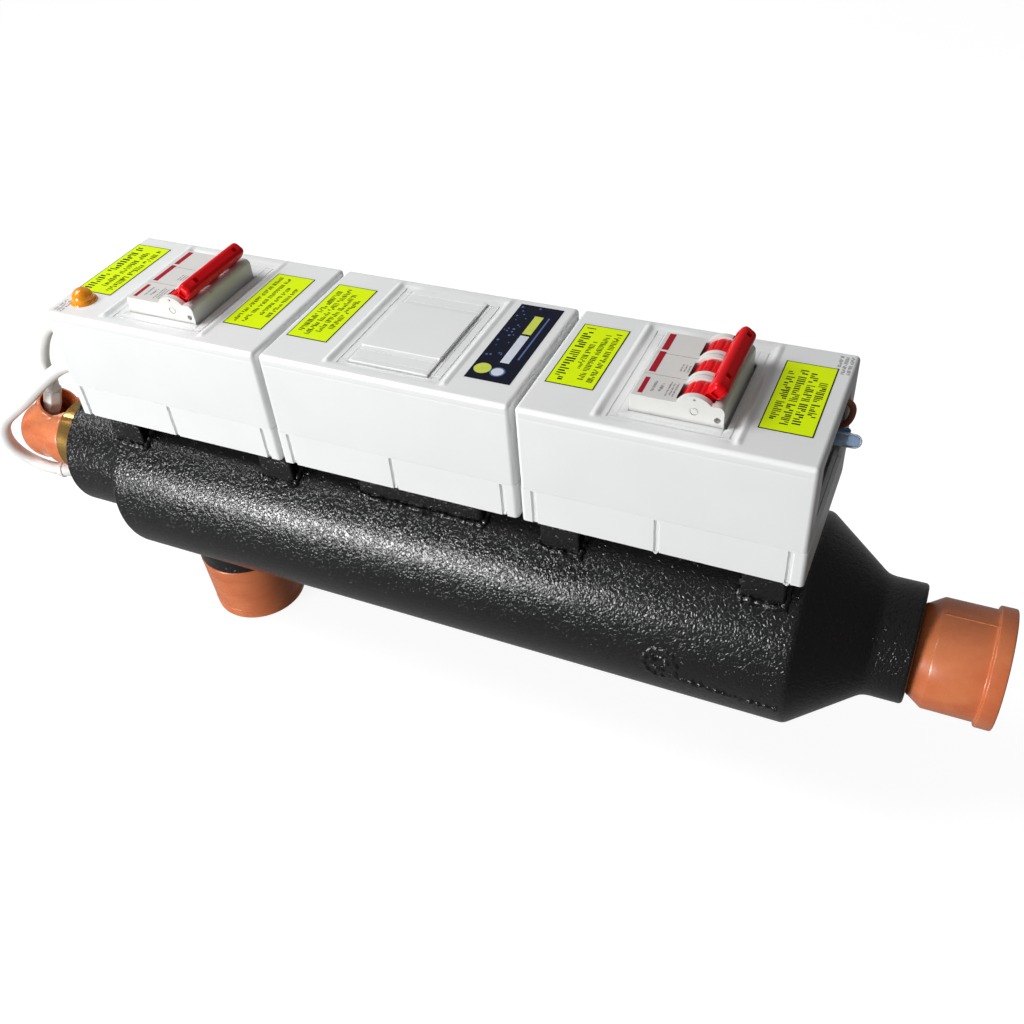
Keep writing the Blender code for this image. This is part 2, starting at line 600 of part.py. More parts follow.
def build_thermostat():
    x, y = THERMOSTAT
    collar_top = FLOOR_Z - GAP
    body = [(3.8, 166.4), (10.0, 166.4), (10.0, collar_top), (7.0, collar_top), (7.0, 188.0), (3.8, 188.0)]
    add("reset_thermostat", turned(body, "Z", (x, y, 0), 16), "grey_plastic")
    button = [(0.0, 161.8), (2.8, 161.8), (3.4, 162.6), (3.4, 184.0), (0.0, 184.0)]
    add("reset_button", turned(button, "Z", (x, y, 0), 12), "red_plastic", (x, y, 166.4))


def build_legs():
    for number, x in enumerate(LEG_CENTRES, 1):
        bar = block((x - LEG_HALF_X, -LEG_HALF_Y, 130), (x + LEG_HALF_X, LEG_HALF_Y, FLOOR_Z - GAP), 1.0)
        leg = add(f"box_leg_{number}", bar, "black_coat")
        cut(leg, vessel_cutter(GAP))
        for y in (-SCREW_Y, SCREW_Y):
            cut(leg, rod(SCREW_HOLE_R, 164, 180, "Z", (x, y, 0), 10))


def screw_places(index):
    """Where a box is screwed down: diagonal corners of its saddles, or the flange in the middle."""
    if index == 1:
        return [(189.0, -10.0), (189.0, 10.0)]
    left, right = LEG_CENTRES[index:index + 2]
    return [(left, -SCREW_Y), (right, SCREW_Y)]


def build_screws():
    number = 0
    for index in range(3):
        floor = FLOOR_Z + BOX_WALL + GAP
        for x, y in screw_places(index):
            number += 1
            profile = [(0.0, 168.0), (2.0, 168.0), (2.0, floor), (4.2, floor), (4.2, floor + 0.5),
                       (3.6, floor + 1.2), (0.0, floor + 1.2)]
            add(f"base_screw_{number}", turned(profile, "Z", (x, y, 0), 10), "zinc_steel")


def build_splice():
    """The spare mains leads that show in the right-hand opening, and their clear cap."""
    tube_along("brown_lead", BROWN_ROUTE, WIRE_R, "brown_wire", spacing=6.0)
    tube_along("blue_lead", BLUE_ROUTE, WIRE_R, "blue_wire", spacing=6.0)
    start, tip = CAP_X
    cap = [(1.2, start), (CAP_R, start), (CAP_R, tip - 3.6), (CAP_R - 1.0, tip - 1.0), (0.0, tip),
           (0.0, tip - 1.6), (1.2, tip - 2.6)]
    add("splice_cap", turned(cap, "X", (0, *CAP_CENTRE), 12), "clear_cap")


def main():
    clear_scene()
    build_vessel()
    build_couplings()
    build_sensor_fitting()
    build_leads()
    build_elements()
    build_legs()
    for index in range(3):
        build_base(index)
        build_cover(index)
        build_rail(index)
    for index in range(2):
        build_breaker(index)
        build_toggle(index)
    build_blanking_plate()
    build_contactor()
    build_terminal_block(1, BREAKER_CENTRES[0])
    build_terminal_block(2, BREAKER_CENTRES[1])
    build_lamp()
    build_thermostat()
    build_screws()
    build_splice()


main()
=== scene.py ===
import json
import math
import random

import bmesh
import bpy
from mathutils import Matrix, Vector, noise

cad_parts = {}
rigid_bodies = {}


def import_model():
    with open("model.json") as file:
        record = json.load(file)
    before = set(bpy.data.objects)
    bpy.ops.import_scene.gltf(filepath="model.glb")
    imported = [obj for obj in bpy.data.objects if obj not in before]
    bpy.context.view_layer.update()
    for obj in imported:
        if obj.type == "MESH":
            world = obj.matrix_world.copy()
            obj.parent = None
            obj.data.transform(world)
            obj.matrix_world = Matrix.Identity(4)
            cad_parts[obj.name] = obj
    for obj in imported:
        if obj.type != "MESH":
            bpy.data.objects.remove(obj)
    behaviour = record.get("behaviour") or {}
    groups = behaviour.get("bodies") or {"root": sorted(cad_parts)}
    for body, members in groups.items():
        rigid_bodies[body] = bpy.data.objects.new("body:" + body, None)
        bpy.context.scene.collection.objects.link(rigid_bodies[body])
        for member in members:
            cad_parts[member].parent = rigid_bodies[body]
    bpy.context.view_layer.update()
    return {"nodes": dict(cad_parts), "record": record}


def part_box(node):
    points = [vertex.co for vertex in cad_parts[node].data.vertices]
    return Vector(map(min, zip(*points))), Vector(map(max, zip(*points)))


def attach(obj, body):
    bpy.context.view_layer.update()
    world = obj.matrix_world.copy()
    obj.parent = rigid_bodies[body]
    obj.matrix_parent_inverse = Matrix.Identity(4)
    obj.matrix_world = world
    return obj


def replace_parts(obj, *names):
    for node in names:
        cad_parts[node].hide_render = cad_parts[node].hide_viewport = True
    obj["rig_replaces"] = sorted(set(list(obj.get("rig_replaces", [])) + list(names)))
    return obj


# The looks of an in-line pool heater, built round its CAD frame. Lengths here are millimetres, and
# meshes are scaled to metres as they become objects. Places come from the CAD nodes' boxes.

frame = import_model()

MM = 0.001

# Camera and light
CAMERA_PLACE = (416.3, -405.9, 532.1)
CAMERA_TURN = (48.68, 3.95, 23.95)
CAMERA_LENS = 37.67
WORLD_LIGHT = 0.27
DARK_SIDE = 0.11
FLOOR_GLOW = 0.88
FLOOR_HALF = 30.0
FLOOR_GAP = 0.0004
SOFTBOXES = (
    ("front_softbox", (-640, -1500, 300), (150, 0, 120), (700, 400), 26.0),
    ("top_softbox", (-700, -250, 1300), (160, 0, 200), (700, 700), 10.2),
)

# Enclosures
EDGE_R = 2.3
WALL = 1.9
RIB_X = 33.0
FRAME_HALF = (28.4, 36.0)
FRAME_SHIFT = 0.6
LEDGE_HALF = (24.2, 33.4)
RIB_STOPS = [RIB_X + shift for shift in (-3.4, -2.6, -1.9, -1.3, -0.6, 0.0, 0.6, 1.3, 1.9, 2.6)]
FRAME_STOPS_X = (27.95, 28.15, 28.4, 28.65, 28.85, 23.85, 24.0, 24.2, 24.4, 24.55)
FRAME_STOPS_Y = (35.55, 35.75, 36.0, 36.25, 36.3, 33.05, 33.2, 33.4, 33.6, 33.75)
GROOVE_PITCH = 63.0
GROOVE_DEPTH = 1.3
LIP_DROP = 5.2
TONGUE_R = 2.5
LEAD_HOLES_Y = (-13.0, 4.0, 21.0)
FLOOR_SLOTS = (((138.0, -35.5), (198.0, -22.5)), ((138.0, 22.5), (198.0, 35.5)))
LABEL_THICK = 0.16
INK_THICK = 0.04
STRIPE_THICK = 0.05
LIFT = 0.02

# Vessel and fittings
COAT_GRAIN = 480.0
TUBE_R = 57.15
TUBE_Z = 108.0
SEAT_DEPTH = 1.5
WELD_R = 2.1
ACROSS = (0, 1, 0)
ALONG = (1, 0, 0)

# Breakers
HUMP_R = 9.9
DRUM_R = 8.8
POLE_PITCH = 18.0
FACE_RISE = 5.2
HANDLE_REACH = 16.0
HANDLE_LEAN = 36.1
HANDLE_HALF = 4.1

# Leads and wires
LEAD_R = 4.3
WIRE_R = 1.6
LEAD_ENTRY_Z = 184.8
PLUG_FOOT = Vector((-140.1, 0.0, 121.4))
PLUG_AIM = Vector((0.404, 0.0, 0.915)).normalized()
SENSOR_ROUTE = (
    *[PLUG_FOOT + PLUG_AIM * along for along in (15.4, 21, 28)],
    (-129.5, 0.8, 154.5), (-131, 2, 163), (-127.5, 3, 174), (-121.5, 4, 184.5),
    (-112, 4, 193.5), (-97, 4, 197.5), (-80, 4, 192), (-64, 4, 185.6),
    (-54, 4, LEAD_ENTRY_Z), (-44, 4, LEAD_ENTRY_Z),
)
LOOP_ROUTE = (
    (-44, -13, LEAD_ENTRY_Z), (-54, -13, LEAD_ENTRY_Z), (-65, -13, 184.5),
    (-80, -13.5, 182), (-97, -14, 175), (-115, -15.5, 162), (-138, -17, 143),
    (-163.8, -19.5, 122.5), (-173.5, -18, 105.5), (-173.5, -15, 91.5), (-164.5, -12, 81.5),
    (-149, -10, 77.5), (-132, -4, 77.5), (-120, 10, 77), (-112, 27, 84),
    (-108, 38, 104), (-103, 38, 130), (-92, 31, 157), (-77, 24, 176),
    (-64, 21, 183.5), (-54, 21, LEAD_ENTRY_Z), (-44, 21, LEAD_ENTRY_Z),
)
BROWN_ROUTE = (
    (356, 25, 226), (368, 25, 230.5), (375.5, 24.5, 229.5), (377.6, 24.5, 225),
    (375.5, 24, 218), (368, 23.5, 213), (356, 23, 212),
)
BLUE_ROUTE = (
    (356, 8, 219), (368, 9, 222.5), (375.5, 10.5, 222.5), (377.6, 14, 221),
    (375.5, 17.5, 217.5), (368, 18.5, 214), (356, 18.5, 213),
)
SIDE_OPENING = ((-34.0, 28.0), (190.0, 235.0))


def cad(node):
    """Lowest and highest corner of a CAD node, in millimetres."""
    low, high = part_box(node)
    return low / MM, high / MM


def paint(red, green, blue):
    """A screen colour from 0 to 255 as the linear colour that a shader takes."""
    shares = [value / 255 for value in (red, green, blue)]
    return tuple(s / 12.92 if s <= 0.04045 else ((s + 0.055) / 1.055) ** 2.4 for s in shares)


def add_node(tree, kind, inputs=None, **settings):
    """A new shader node; an input is a value or another node's socket."""
    made = tree.nodes.new(kind)
    for key, value in settings.items():
        setattr(made, key, value)
    for key, value in (inputs or {}).items():
        if isinstance(value, bpy.types.NodeSocket):
            tree.links.new(value, made.inputs[key])
        else:
            made.inputs[key].default_value = value
    return made


class Finish:
    """A Principled material, with short ways to add texture nodes to it. Scales are per metre."""

    def __init__(self, name, **settings):
        self.material = bpy.data.materials.new(name)
        self.material.use_nodes = True
        self.tree = self.material.node_tree
        self.shader = self.tree.nodes["Principled BSDF"]
        self.place = self.node("ShaderNodeTexCoord").outputs["Object"]
        for name_, value in settings.items():
            self.shader.inputs[SOCKET_NAMES[name_]].default_value = value

    def node(self, kind, inputs=None, **settings):
        return add_node(self.tree, kind, inputs, **settings)

    def grain(self, scale, detail=2.0, warp=0.0, stretch=(1, 1, 1)):
        """Noise between 0 and 1."""
        mapping = self.node("ShaderNodeMapping", {"Vector": self.place, "Scale": stretch})
        values = {"Vector": mapping.outputs["Vector"], "Scale": scale, "Detail": detail,
                  "Distortion": warp}
        return self.node("ShaderNodeTexNoise", values).outputs["Fac"]

    def math(self, operation, first, second=0.0):
        return self.node("ShaderNodeMath", {0: first, 1: second}, operation=operation).outputs[0]

    def between(self, value, low, high, start=0.0, end=1.0, curve="LINEAR"):
        """The value's stretch from start to end, spread from low to high."""
        inputs = {"Value": value, "From Min": start, "From Max": end, "To Min": low, "To Max": high}
        spread = self.node("ShaderNodeMapRange", inputs, interpolation_type=curve)
        return spread.outputs["Result"]

    def colour(self, value, *stops):
        """Sends a ramp of (place, colour) stops along the value to the base colour."""
        ramp = self.node("ShaderNodeValToRGB", {"Fac": value})
        elements = ramp.color_ramp.elements
        for number, (place, shade) in enumerate(stops):
            element = elements[number] if number < 2 else elements.new(place)
            element.position = place
            element.color = (*shade, 1.0)
        self.tree.links.new(ramp.outputs["Color"], self.shader.inputs["Base Color"])

    def mottle(self, value, darker, lighter):
        """Two screen colours that drift into each other along the value."""
        self.colour(value, (0.3, paint(*darker)), (0.7, paint(*lighter)))

    def rough(self, value, low, high, start=0.3, end=0.7):
        spread = self.between(value, low, high, start, end)
        self.tree.links.new(spread, self.shader.inputs["Roughness"])

    def bump(self, height, depth_mm, under=None):
        inputs = {"Height": height, "Distance": depth_mm * MM, "Strength": 1.0}
        if under:
            inputs["Normal"] = under
        normal = self.node("ShaderNodeBump", inputs).outputs["Normal"]
        self.tree.links.new(normal, self.shader.inputs["Normal"])
        return normal


SOCKET_NAMES = {
    "metallic": "Metallic", "specular": "Specular IOR Level", "coat": "Coat Weight", "ior": "IOR",
    "coat_rough": "Coat Roughness", "glow": "Subsurface Weight", "glow_depth": "Subsurface Scale",
    "clear": "Transmission Weight", "anisotropy": "Anisotropic", "shine": "Emission Strength",
}


def black_coat():
    """Wrinkled black powder coat: short wandering ridges, their tops painted a little lighter than
    the hollows as a painted sheen.
    """
    made = Finish("black_wrinkle_coat", specular=0.65)
    wander = made.grain(COAT_GRAIN, 1.0, 0.6)
    ridge = made.math("ABSOLUTE", made.math("SUBTRACT", wander, 0.5))
    tops = made.between(ridge, 1.0, 0.0, 0.0, 0.22, "SMOOTHSTEP")
    fine = made.grain(COAT_GRAIN * 3, 1.0)
    height = made.math("ADD", tops, made.math("MULTIPLY", fine, 0.15))
    # painted sheen: the ridge tops get a lighter colour than the hollows between them
    made.colour(tops, (0.1, paint(5, 5, 6)), (0.9, paint(12, 12, 13)))
    made.rough(fine, 0.17, 0.27)
    made.bump(height, 0.15)
    return made.material


def brown_pvc():
    """Terracotta pipe plastic with faint flow marks."""
    made = Finish("brown_pipe_plastic", specular=0.5, coat=0.25, coat_rough=0.12)
    flow = made.grain(28, 4.0, 0.8, (1, 1, 2.5))
    made.mottle(flow, (208, 106, 62), (228, 134, 84))
    made.rough(made.grain(300, 3.0), 0.22, 0.36)
    made.bump(made.grain(900, 3.0), 0.02, made.bump(made.grain(40), 0.1))
    return made.material


def moulded(name, shade, low=0.34, high=0.46, grain_mm=0.02, spread=8, **settings):
    """A moulded plastic: an even colour that drifts a little, and a fine skin."""
    made = Finish(name, **settings)
    darker = tuple(max(0, value - spread) for value in shade)
    lighter = tuple(min(255, value + spread) for value in shade)
    made.mottle(made.grain(24, 5.0), darker, lighter)
    made.rough(made.grain(160, 4.0), low, high)
    made.bump(made.grain(1300), grain_mm, made.bump(made.grain(12, 0.0), 0.04))
    return made.material


def brushed(name, shade, stretch, low=0.22, high=0.4, mark_mm=0.03):
    """Bare metal with fine marks along one direction and a few dull patches."""
    made = Finish(name, metallic=1.0, anisotropy=0.3)
    lines = made.grain(120, 6.0, 0.0, stretch)
    patches = made.grain(30, 3.0)
    darker = tuple(value * 0.86 for value in shade)
    mixed = made.math("ADD", made.math("MULTIPLY", lines, 0.3),
                      made.math("MULTIPLY", patches, 0.7))
    made.colour(mixed, (0.32, paint(*darker)), (0.62, paint(*shade)))
    made.rough(patches, low, high)
    made.bump(lines, mark_mm)
    return made.material


def clear_plastic(name, shade, rough=0.08):
    """A see-through moulding with faint ripples."""
    made = Finish(name, clear=0.85, ior=1.46)
    darker = tuple(value - 8 for value in shade)
    made.mottle(made.grain(90), darker, shade)
    made.rough(made.grain(240, 3.0), rough, rough + 0.1)
    made.bump(made.grain(180), 0.08)
    return made.material


def amber_lens():
    """Orange translucent plastic, brighter where it is thin."""
    made = Finish("amber_lamp_plastic", ior=1.49, glow=0.2, glow_depth=0.002,
                  coat=0.35, coat_rough=0.05)
    made.mottle(made.grain(240, 3.0), (232, 136, 6), (248, 162, 14))
    made.rough(made.grain(400), 0.12, 0.22)
    made.bump(made.grain(350, 1.0), 0.1)
    return made.material


def printed(name, shade, spread=10, shine=0.0):
    """Sticker film or ink, slightly blotched, with a satin top; shine is a painted glow, an
    emission in the film's own colour that lifts it brighter than the lamps light it, standing for
    the film's fluorescence.
    """
    made = Finish(name, specular=0.15, shine=shine)
    # the emission colour is the print's own colour; with shine above 0 it is a painted glow
    made.shader.inputs["Emission Color"].default_value = (*paint(*shade), 1.0)
    darker = tuple(max(0, value - spread) for value in shade)
    made.mottle(made.grain(260, 4.0), darker, shade)
    made.rough(made.grain(500), 0.38, 0.52)
    made.bump(made.grain(700), 0.02)
    return made.material


FINISHES = {
    "black_coat": black_coat(),
    "brown_pvc": brown_pvc(),
    "white_abs": moulded("white_box_plastic", (241, 242, 242), 0.3, 0.36, 0.01, 2),
    "brass": brushed("turned_brass", (240, 192, 112), (0.15, 6, 6), 0.14, 0.26, 0.015),
    "grey_plastic": moulded("pale_grey_plastic", (222, 222, 219), 0.34, 0.48, 0.02, 3),
    "red_plastic": moulded("red_toggle_plastic", (222, 0, 16), 0.26, 0.36, 0.02, 6,
                           specular=0.22),
    "zinc_steel": brushed("zinc_plated_steel", (190, 190, 184), (1, 8, 1)),
    "element_steel": brushed("heater_tube_steel", (160, 154, 146), (1, 6, 6)),
    "amber_lens": amber_lens(),
    "white_cable": moulded("white_cable_sheath", (248, 248, 246), 0.4, 0.52, 0.03, 4),
    "brown_wire": moulded("brown_wire_sheath", (160, 92, 66)),
    "blue_wire": moulded("blue_wire_sheath", (44, 112, 156)),
    "clear_cap": clear_plastic("clear_splice_plastic", (206, 222, 240)),
    # painted glow: the yellow film emits its own colour, standing for its fluorescence and lifting
    # it above what the lamps give
    "yellow_film": printed("yellow_label_film", (214, 240, 0), 4, 0.16),
    "navy_film": printed("navy_label_film", (20, 23, 42), 6),
    "dark_ink": printed("dark_label_ink", (22, 24, 14), 6),
    "grey_ink": printed("grey_print_ink", (112, 112, 116)),
    "red_ink": printed("red_print_ink", (176, 30, 48)),
    "pale_ink": printed("pale_label_ink", (222, 228, 240)),
    "lime_ink": printed("lime_label_ink", (214, 226, 96)),
    "blue_ink": printed("blue_label_ink", (96, 120, 172)),
}


def in_scene(name, data):
    """A new object in the scene, made from a bmesh or from a light or camera."""
    if isinstance(data, bmesh.types.BMesh):
        bm, data = data, bpy.data.meshes.new(name)
        bm.to_mesh(data)
        bm.free()
    made = bpy.data.objects.new(name, data)
    bpy.context.scene.collection.objects.link(made)
    return made


def piece(name, bm, finish, replaces=(), body="heater", sharp=32.0, thick=0.0, flat=False):
    """Turns a bmesh in millimetres into a piece of the object that rides on a body."""
    finishes = [finish] if isinstance(finish, str) else list(finish)
    bm.transform(Matrix.Scale(MM, 4))
    made = in_scene(name, bm)
    for each in finishes:
        made.data.materials.append(FINISHES[each])
    made.data.shade_smooth()
    made.data.set_sharp_from_angle(angle=math.radians(sharp))
    if thick:
        shell = made.modifiers.new("wall", "SOLIDIFY")
        shell.thickness = thick * MM
        shell.offset = -1.0
    if flat:
        made.modifiers.new("flat_faces", "WEIGHTED_NORMAL").keep_sharp = True
    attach(made, body)
    if replaces:
        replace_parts(made, *replaces)
    return made


def loose(bm, closed=True):
    """A bmesh in millimetres as a bare object, for use in a Boolean."""
    if closed:
        bmesh.ops.recalc_face_normals(bm, faces=bm.faces)
        if bm.calc_volume(signed=True) < 0.0:
            bmesh.ops.reverse_faces(bm, faces=bm.faces)
    return in_scene("tool", bm)


def worked(bm, steps):
    """The bmesh after some modifiers, each a kind and its settings; a Boolean's tool is a bmesh."""
    whole = loose(bm, steps[0][0] != "SOLIDIFY")
    tools = []
    for kind, settings in steps:
        step = whole.modifiers.new(kind.lower(), kind)
        for key, value in settings.items():
            if isinstance(value, bmesh.types.BMesh):
                value = loose(value)
                tools.append(value)
            setattr(step, key, value)
    graph = bpy.context.evaluated_depsgraph_get()
    result = bmesh.new()
    result.from_object(whole, graph)
    for used in (whole, *tools):
        bpy.data.objects.remove(used, do_unlink=True)
    return result


def less(*solids):
    return [("BOOLEAN", {"operation": "DIFFERENCE", "object": bm}) for bm in solids]


def plus(*solids):
    return [("BOOLEAN", {"operation": "UNION", "object": bm}) for bm in solids]


def walled(thick):
    return [("SOLIDIFY", {"thickness": thick, "offset": -1.0})]


def softened(width, segments=2, angle=32.0):
    return [("BEVEL", {"width": width, "segments": segments, "limit_method": "ANGLE",
                       "angle_limit": math.radians(angle), "use_clamp_overlap": True})]


def joined(*parts):
    """Several bmeshes as one."""
    whole = bmesh.new()
    for bm in parts:
        mesh = bpy.data.meshes.new("part")
        bm.to_mesh(mesh)
        bm.free()
        whole.from_mesh(mesh)
        bpy.data.meshes.remove(mesh)
    return whole


def inked(bm, number):
    """The same bmesh with all its faces on one material number."""
    for face in bm.faces:
        face.material_index = number
    return bm


def block(low, high, soft=0.0, segments=2):
    """A box between two corners with every edge rounded if asked."""
    low, high = Vector(low), Vector(high)
    bm = bmesh.new()
    placed = Matrix.Translation((low + high) / 2) @ Matrix.Diagonal((*(high - low), 1.0))
    bmesh.ops.create_cube(bm, size=1.0, matrix=placed)
    if soft:
        round_edges(bm, list(bm.edges), soft, segments)
    return bm


def round_edges(bm, edges, offset, segments=2):
    bmesh.ops.bevel(bm, geom=edges, offset=offset, segments=segments, profile=0.5, affect="EDGES")


def prism(outline, low_y, high_y):
    """An outline of (x, z) points extruded along Y."""
    bm = bmesh.new()
    face = bm.faces.new([bm.verts.new((x, low_y, z)) for x, z in outline])
    grown = bmesh.ops.extrude_face_region(bm, geom=[face])
    moved = [item for item in grown["geom"] if isinstance(item, bmesh.types.BMVert)]
    bmesh.ops.translate(bm, verts=moved, vec=(0.0, high_y - low_y, 0.0))
    return bm


def circle(count):
    """The cosine and sine of each of count even steps round a circle."""
    for k in range(count):
        angle = 2.0 * math.pi * k / count
        yield math.cos(angle), math.sin(angle)


def turned(profile, aim=(0, 0, 1), centre=(0, 0, 0), sides=96):
    """An outline of (radius, height) points turned about a direction through centre."""
    bm = bmesh.new()
    rings = []
    for radius, height in profile:
        count = sides if radius > 1e-6 else 1
        rings.append([bm.verts.new((radius * x, radius * y, height)) for x, y in circle(count)])
    for here, there in zip(rings, rings[1:] + rings[:1]):
        if len(here) == len(there) == 1:
            continue
        for k in range(sides):
            after = (k + 1) % sides
            corners = (here[k % len(here)], here[after % len(here)],
                       there[after % len(there)], there[k % len(there)])
            bm.faces.new(list(dict.fromkeys(corners)))
    turn = Vector((0, 0, 1)).rotation_difference(Vector(aim)).to_matrix().to_4x4()
    bm.transform(Matrix.Translation(centre) @ turn)
    bmesh.ops.recalc_face_normals(bm, faces=bm.faces)
    return bm


def rod(radius, low, high, aim=(0, 0, 1), centre=(0, 0, 0), sides=32):
    return turned([(0.0, low), (radius, low), (radius, high), (0.0, high)], aim, centre, sides)


def arc(centre, radius, start, end, steps=6):
    """Points of an arc, with its angles in degrees."""
    angles = [math.radians(start + (end - start) * k / steps) for k in range(steps + 1)]
    return [(centre[0] + radius * math.cos(a), centre[1] + radius * math.sin(a)) for a in angles]


def smooth_route(points, spacing):
    """Evenly spaced points on a Catmull-Rom curve through the given ones."""
    knots = [Vector(p) for p in points]
    knots = [knots[0] * 2 - knots[1], *knots, knots[-1] * 2 - knots[-2]]
    fine = []
    for a, b, c, d in zip(knots, knots[1:], knots[2:], knots[3:]):
        for k in range(16):
            t = k / 16
            fine.append(((2 * b) + (c - a) * t + (2 * a - 5 * b + 4 * c - d) * t * t
                         + (3 * b - a - 3 * c + d) * t * t * t) / 2)
    fine.append(knots[-2])
    return evenly(fine, spacing)


def evenly(line, spacing):
    """The points of a line at even distances along it."""
    length = sum((q - p).length for p, q in zip(line, line[1:]))
    count = max(2, round(length / spacing))
    route, travelled, wanted = [line[0]], 0.0, length / count
    for p, q in zip(line, line[1:]):
        step = (q - p).length
        while travelled + step > wanted * len(route) and len(route) < count:
            route.append(p.lerp(q, (wanted * len(route) - travelled) / step))
        travelled += step
    return [*route, line[-1]]


def swept(route, radius, sides=20, closed=False, lumps=0.0, seed=0):
    """A tube along a route; lumps makes its surface uneven, as a hand-laid weld is."""
    bm = bmesh.new()
    count = len(route)
    rings = []
    side = None
    for k, place in enumerate(route):
        before = route[(k - 1) % count] if closed or k else place
        after = route[(k + 1) % count] if closed or k < count - 1 else place
        along = (after - before).normalized()
        side = side or along.orthogonal()
        side = (side - along * side.dot(along)).normalized()
        other = along.cross(side)
        ring = []
        for x, y in circle(sides):
            out = side * x + other * y
            swell = 1.0
            if lumps:
                swell += lumps * noise.noise((place + out * radius) * 0.42 + Vector((seed, 0, 0)))
                swell += lumps * 0.35 * math.sin(k * 1.9 + seed)
            ring.append(bm.verts.new(place + out * radius * swell))
        rings.append(ring)
    pairs = zip(rings, rings[1:] + rings[:1]) if closed else zip(rings, rings[1:])
    for here, there in pairs:
        for j in range(sides):
            after = (j + 1) % sides
            bm.faces.new((here[j], here[after], there[after], there[j]))
    if not closed:
        bm.faces.new(rings[0])
        bm.faces.new(rings[-1])
    bmesh.ops.recalc_face_normals(bm, faces=bm.faces)
    return bm


# Enclosures: a grid over the skin of a box, its edges rounded and its relief pressed in

def lines_between(low, high, radius, stops=(), open_low=False):
    """Grid lines from low to high, close together over the rounded ends and at the stops."""
    steps = [radius * (1.0 - math.tan(math.radians(angle))) for angle in (45, 36, 27, 18, 9, 0)]
    start = [low] if open_low else [low + step for step in steps]
    finish = [high - step for step in reversed(steps)]
    inner = sorted({round(s, 3) for s in stops if start[-1] + 0.05 < s < finish[0] - 0.05})
    return [*start, *inner, *finish]


def grid(low, high, radius, xs, ys, zs):
    """The grid lines of a box along each axis; those along Z are given whole."""
    return (lines_between(low.x, high.x, radius, xs), lines_between(low.y, high.y, radius, ys), zs)


def box_skin(lines, place, keep=lambda axis, end, spot: True):
    """The skin of a grid of lines; place moves each point, keep says which cells stay."""
    bm = bmesh.new()
    made = {}

    def vertex(index):
        if index not in made:
            made[index] = bm.verts.new(place(Vector([lines[a][index[a]] for a in range(3)])))
        return made[index]

    for axis, (first, second) in enumerate(((1, 2), (2, 0), (0, 1))):
        for end, number in ((-1, 0), (1, len(lines[axis]) - 1)):
            for i in range(len(lines[first]) - 1):
                for j in range(len(lines[second]) - 1):
                    corners = []
                    for a, b in ((i, j), (i + 1, j), (i + 1, j + 1), (i, j + 1)):
                        index = [0, 0, 0]
                        index[axis], index[first], index[second] = number, a, b
                        corners.append(tuple(index))
                    spots = [Vector([lines[a][index[a]] for a in range(3)]) for index in corners]
                    if keep(axis, end, (spots[0] + spots[2]) / 2):
                        ordered = corners if end > 0 else corners[::-1]
                        bm.faces.new([vertex(index) for index in ordered])
    return bm


def rounded(point, low, high, radius):
    """A point on the skin of a box, moved onto the same box with rounded edges."""
    inner = Vector([min(max(point[a], low[a] + radius), high[a] - radius) for a in range(3)])
    away = point - inner
    longest = max(abs(value) for value in away)
    return inner + away * (longest / away.length) if longest > 1e-9 else point


def ease(value, start, end):
    """0 before start, 1 after end, and a soft slope between them; end may come first."""
    share = min(max((value - start) / (end - start), 0), 1)
    return share * share * (3.0 - 2.0 * share)


def groove(value, centre, half, soft):
    """1 inside a groove about a centre, easing to 0 over its soft edges."""
    return 1.0 - ease(abs(value - centre), half - soft, half)


def top_relief(x, y):
    """Height of a cover's top: two soft ribs, a sunk band between them and a framed window."""
    along = ease(y, -41, -38) * ease(y, 43, 40)
    rib = 0.85 * (1.0 - ease(abs(abs(x) - RIB_X), 0, 2.6)) * along
    band = -0.75 * ease(abs(x), RIB_X - 0.6, RIB_X - 3.4)
    band *= ease(y, -40, -37.4) * ease(y, 41, 38.6)
    u, v = abs(x - FRAME_SHIFT), abs(y)
    half_x, half_y = FRAME_HALF
    near_x = groove(u, half_x, 0.45, 0.2) * (v < half_y + 0.3)
    near_y = groove(v, half_y, 0.45, 0.2) * (u < half_x + 0.3)
    ledge = groove(u, LEDGE_HALF[0], 0.35, 0.15) * (v < half_y)
    ledge += groove(v, LEDGE_HALF[1], 0.35, 0.15) * (u < half_x)
    return rib + band - 0.55 * max(near_x, near_y) - 0.25 * min(ledge, 1)


def symmetric(values, centre=0):
    """The values on both sides of a centre."""
    return [centre + side * value for side in (-1, 1) for value in values]


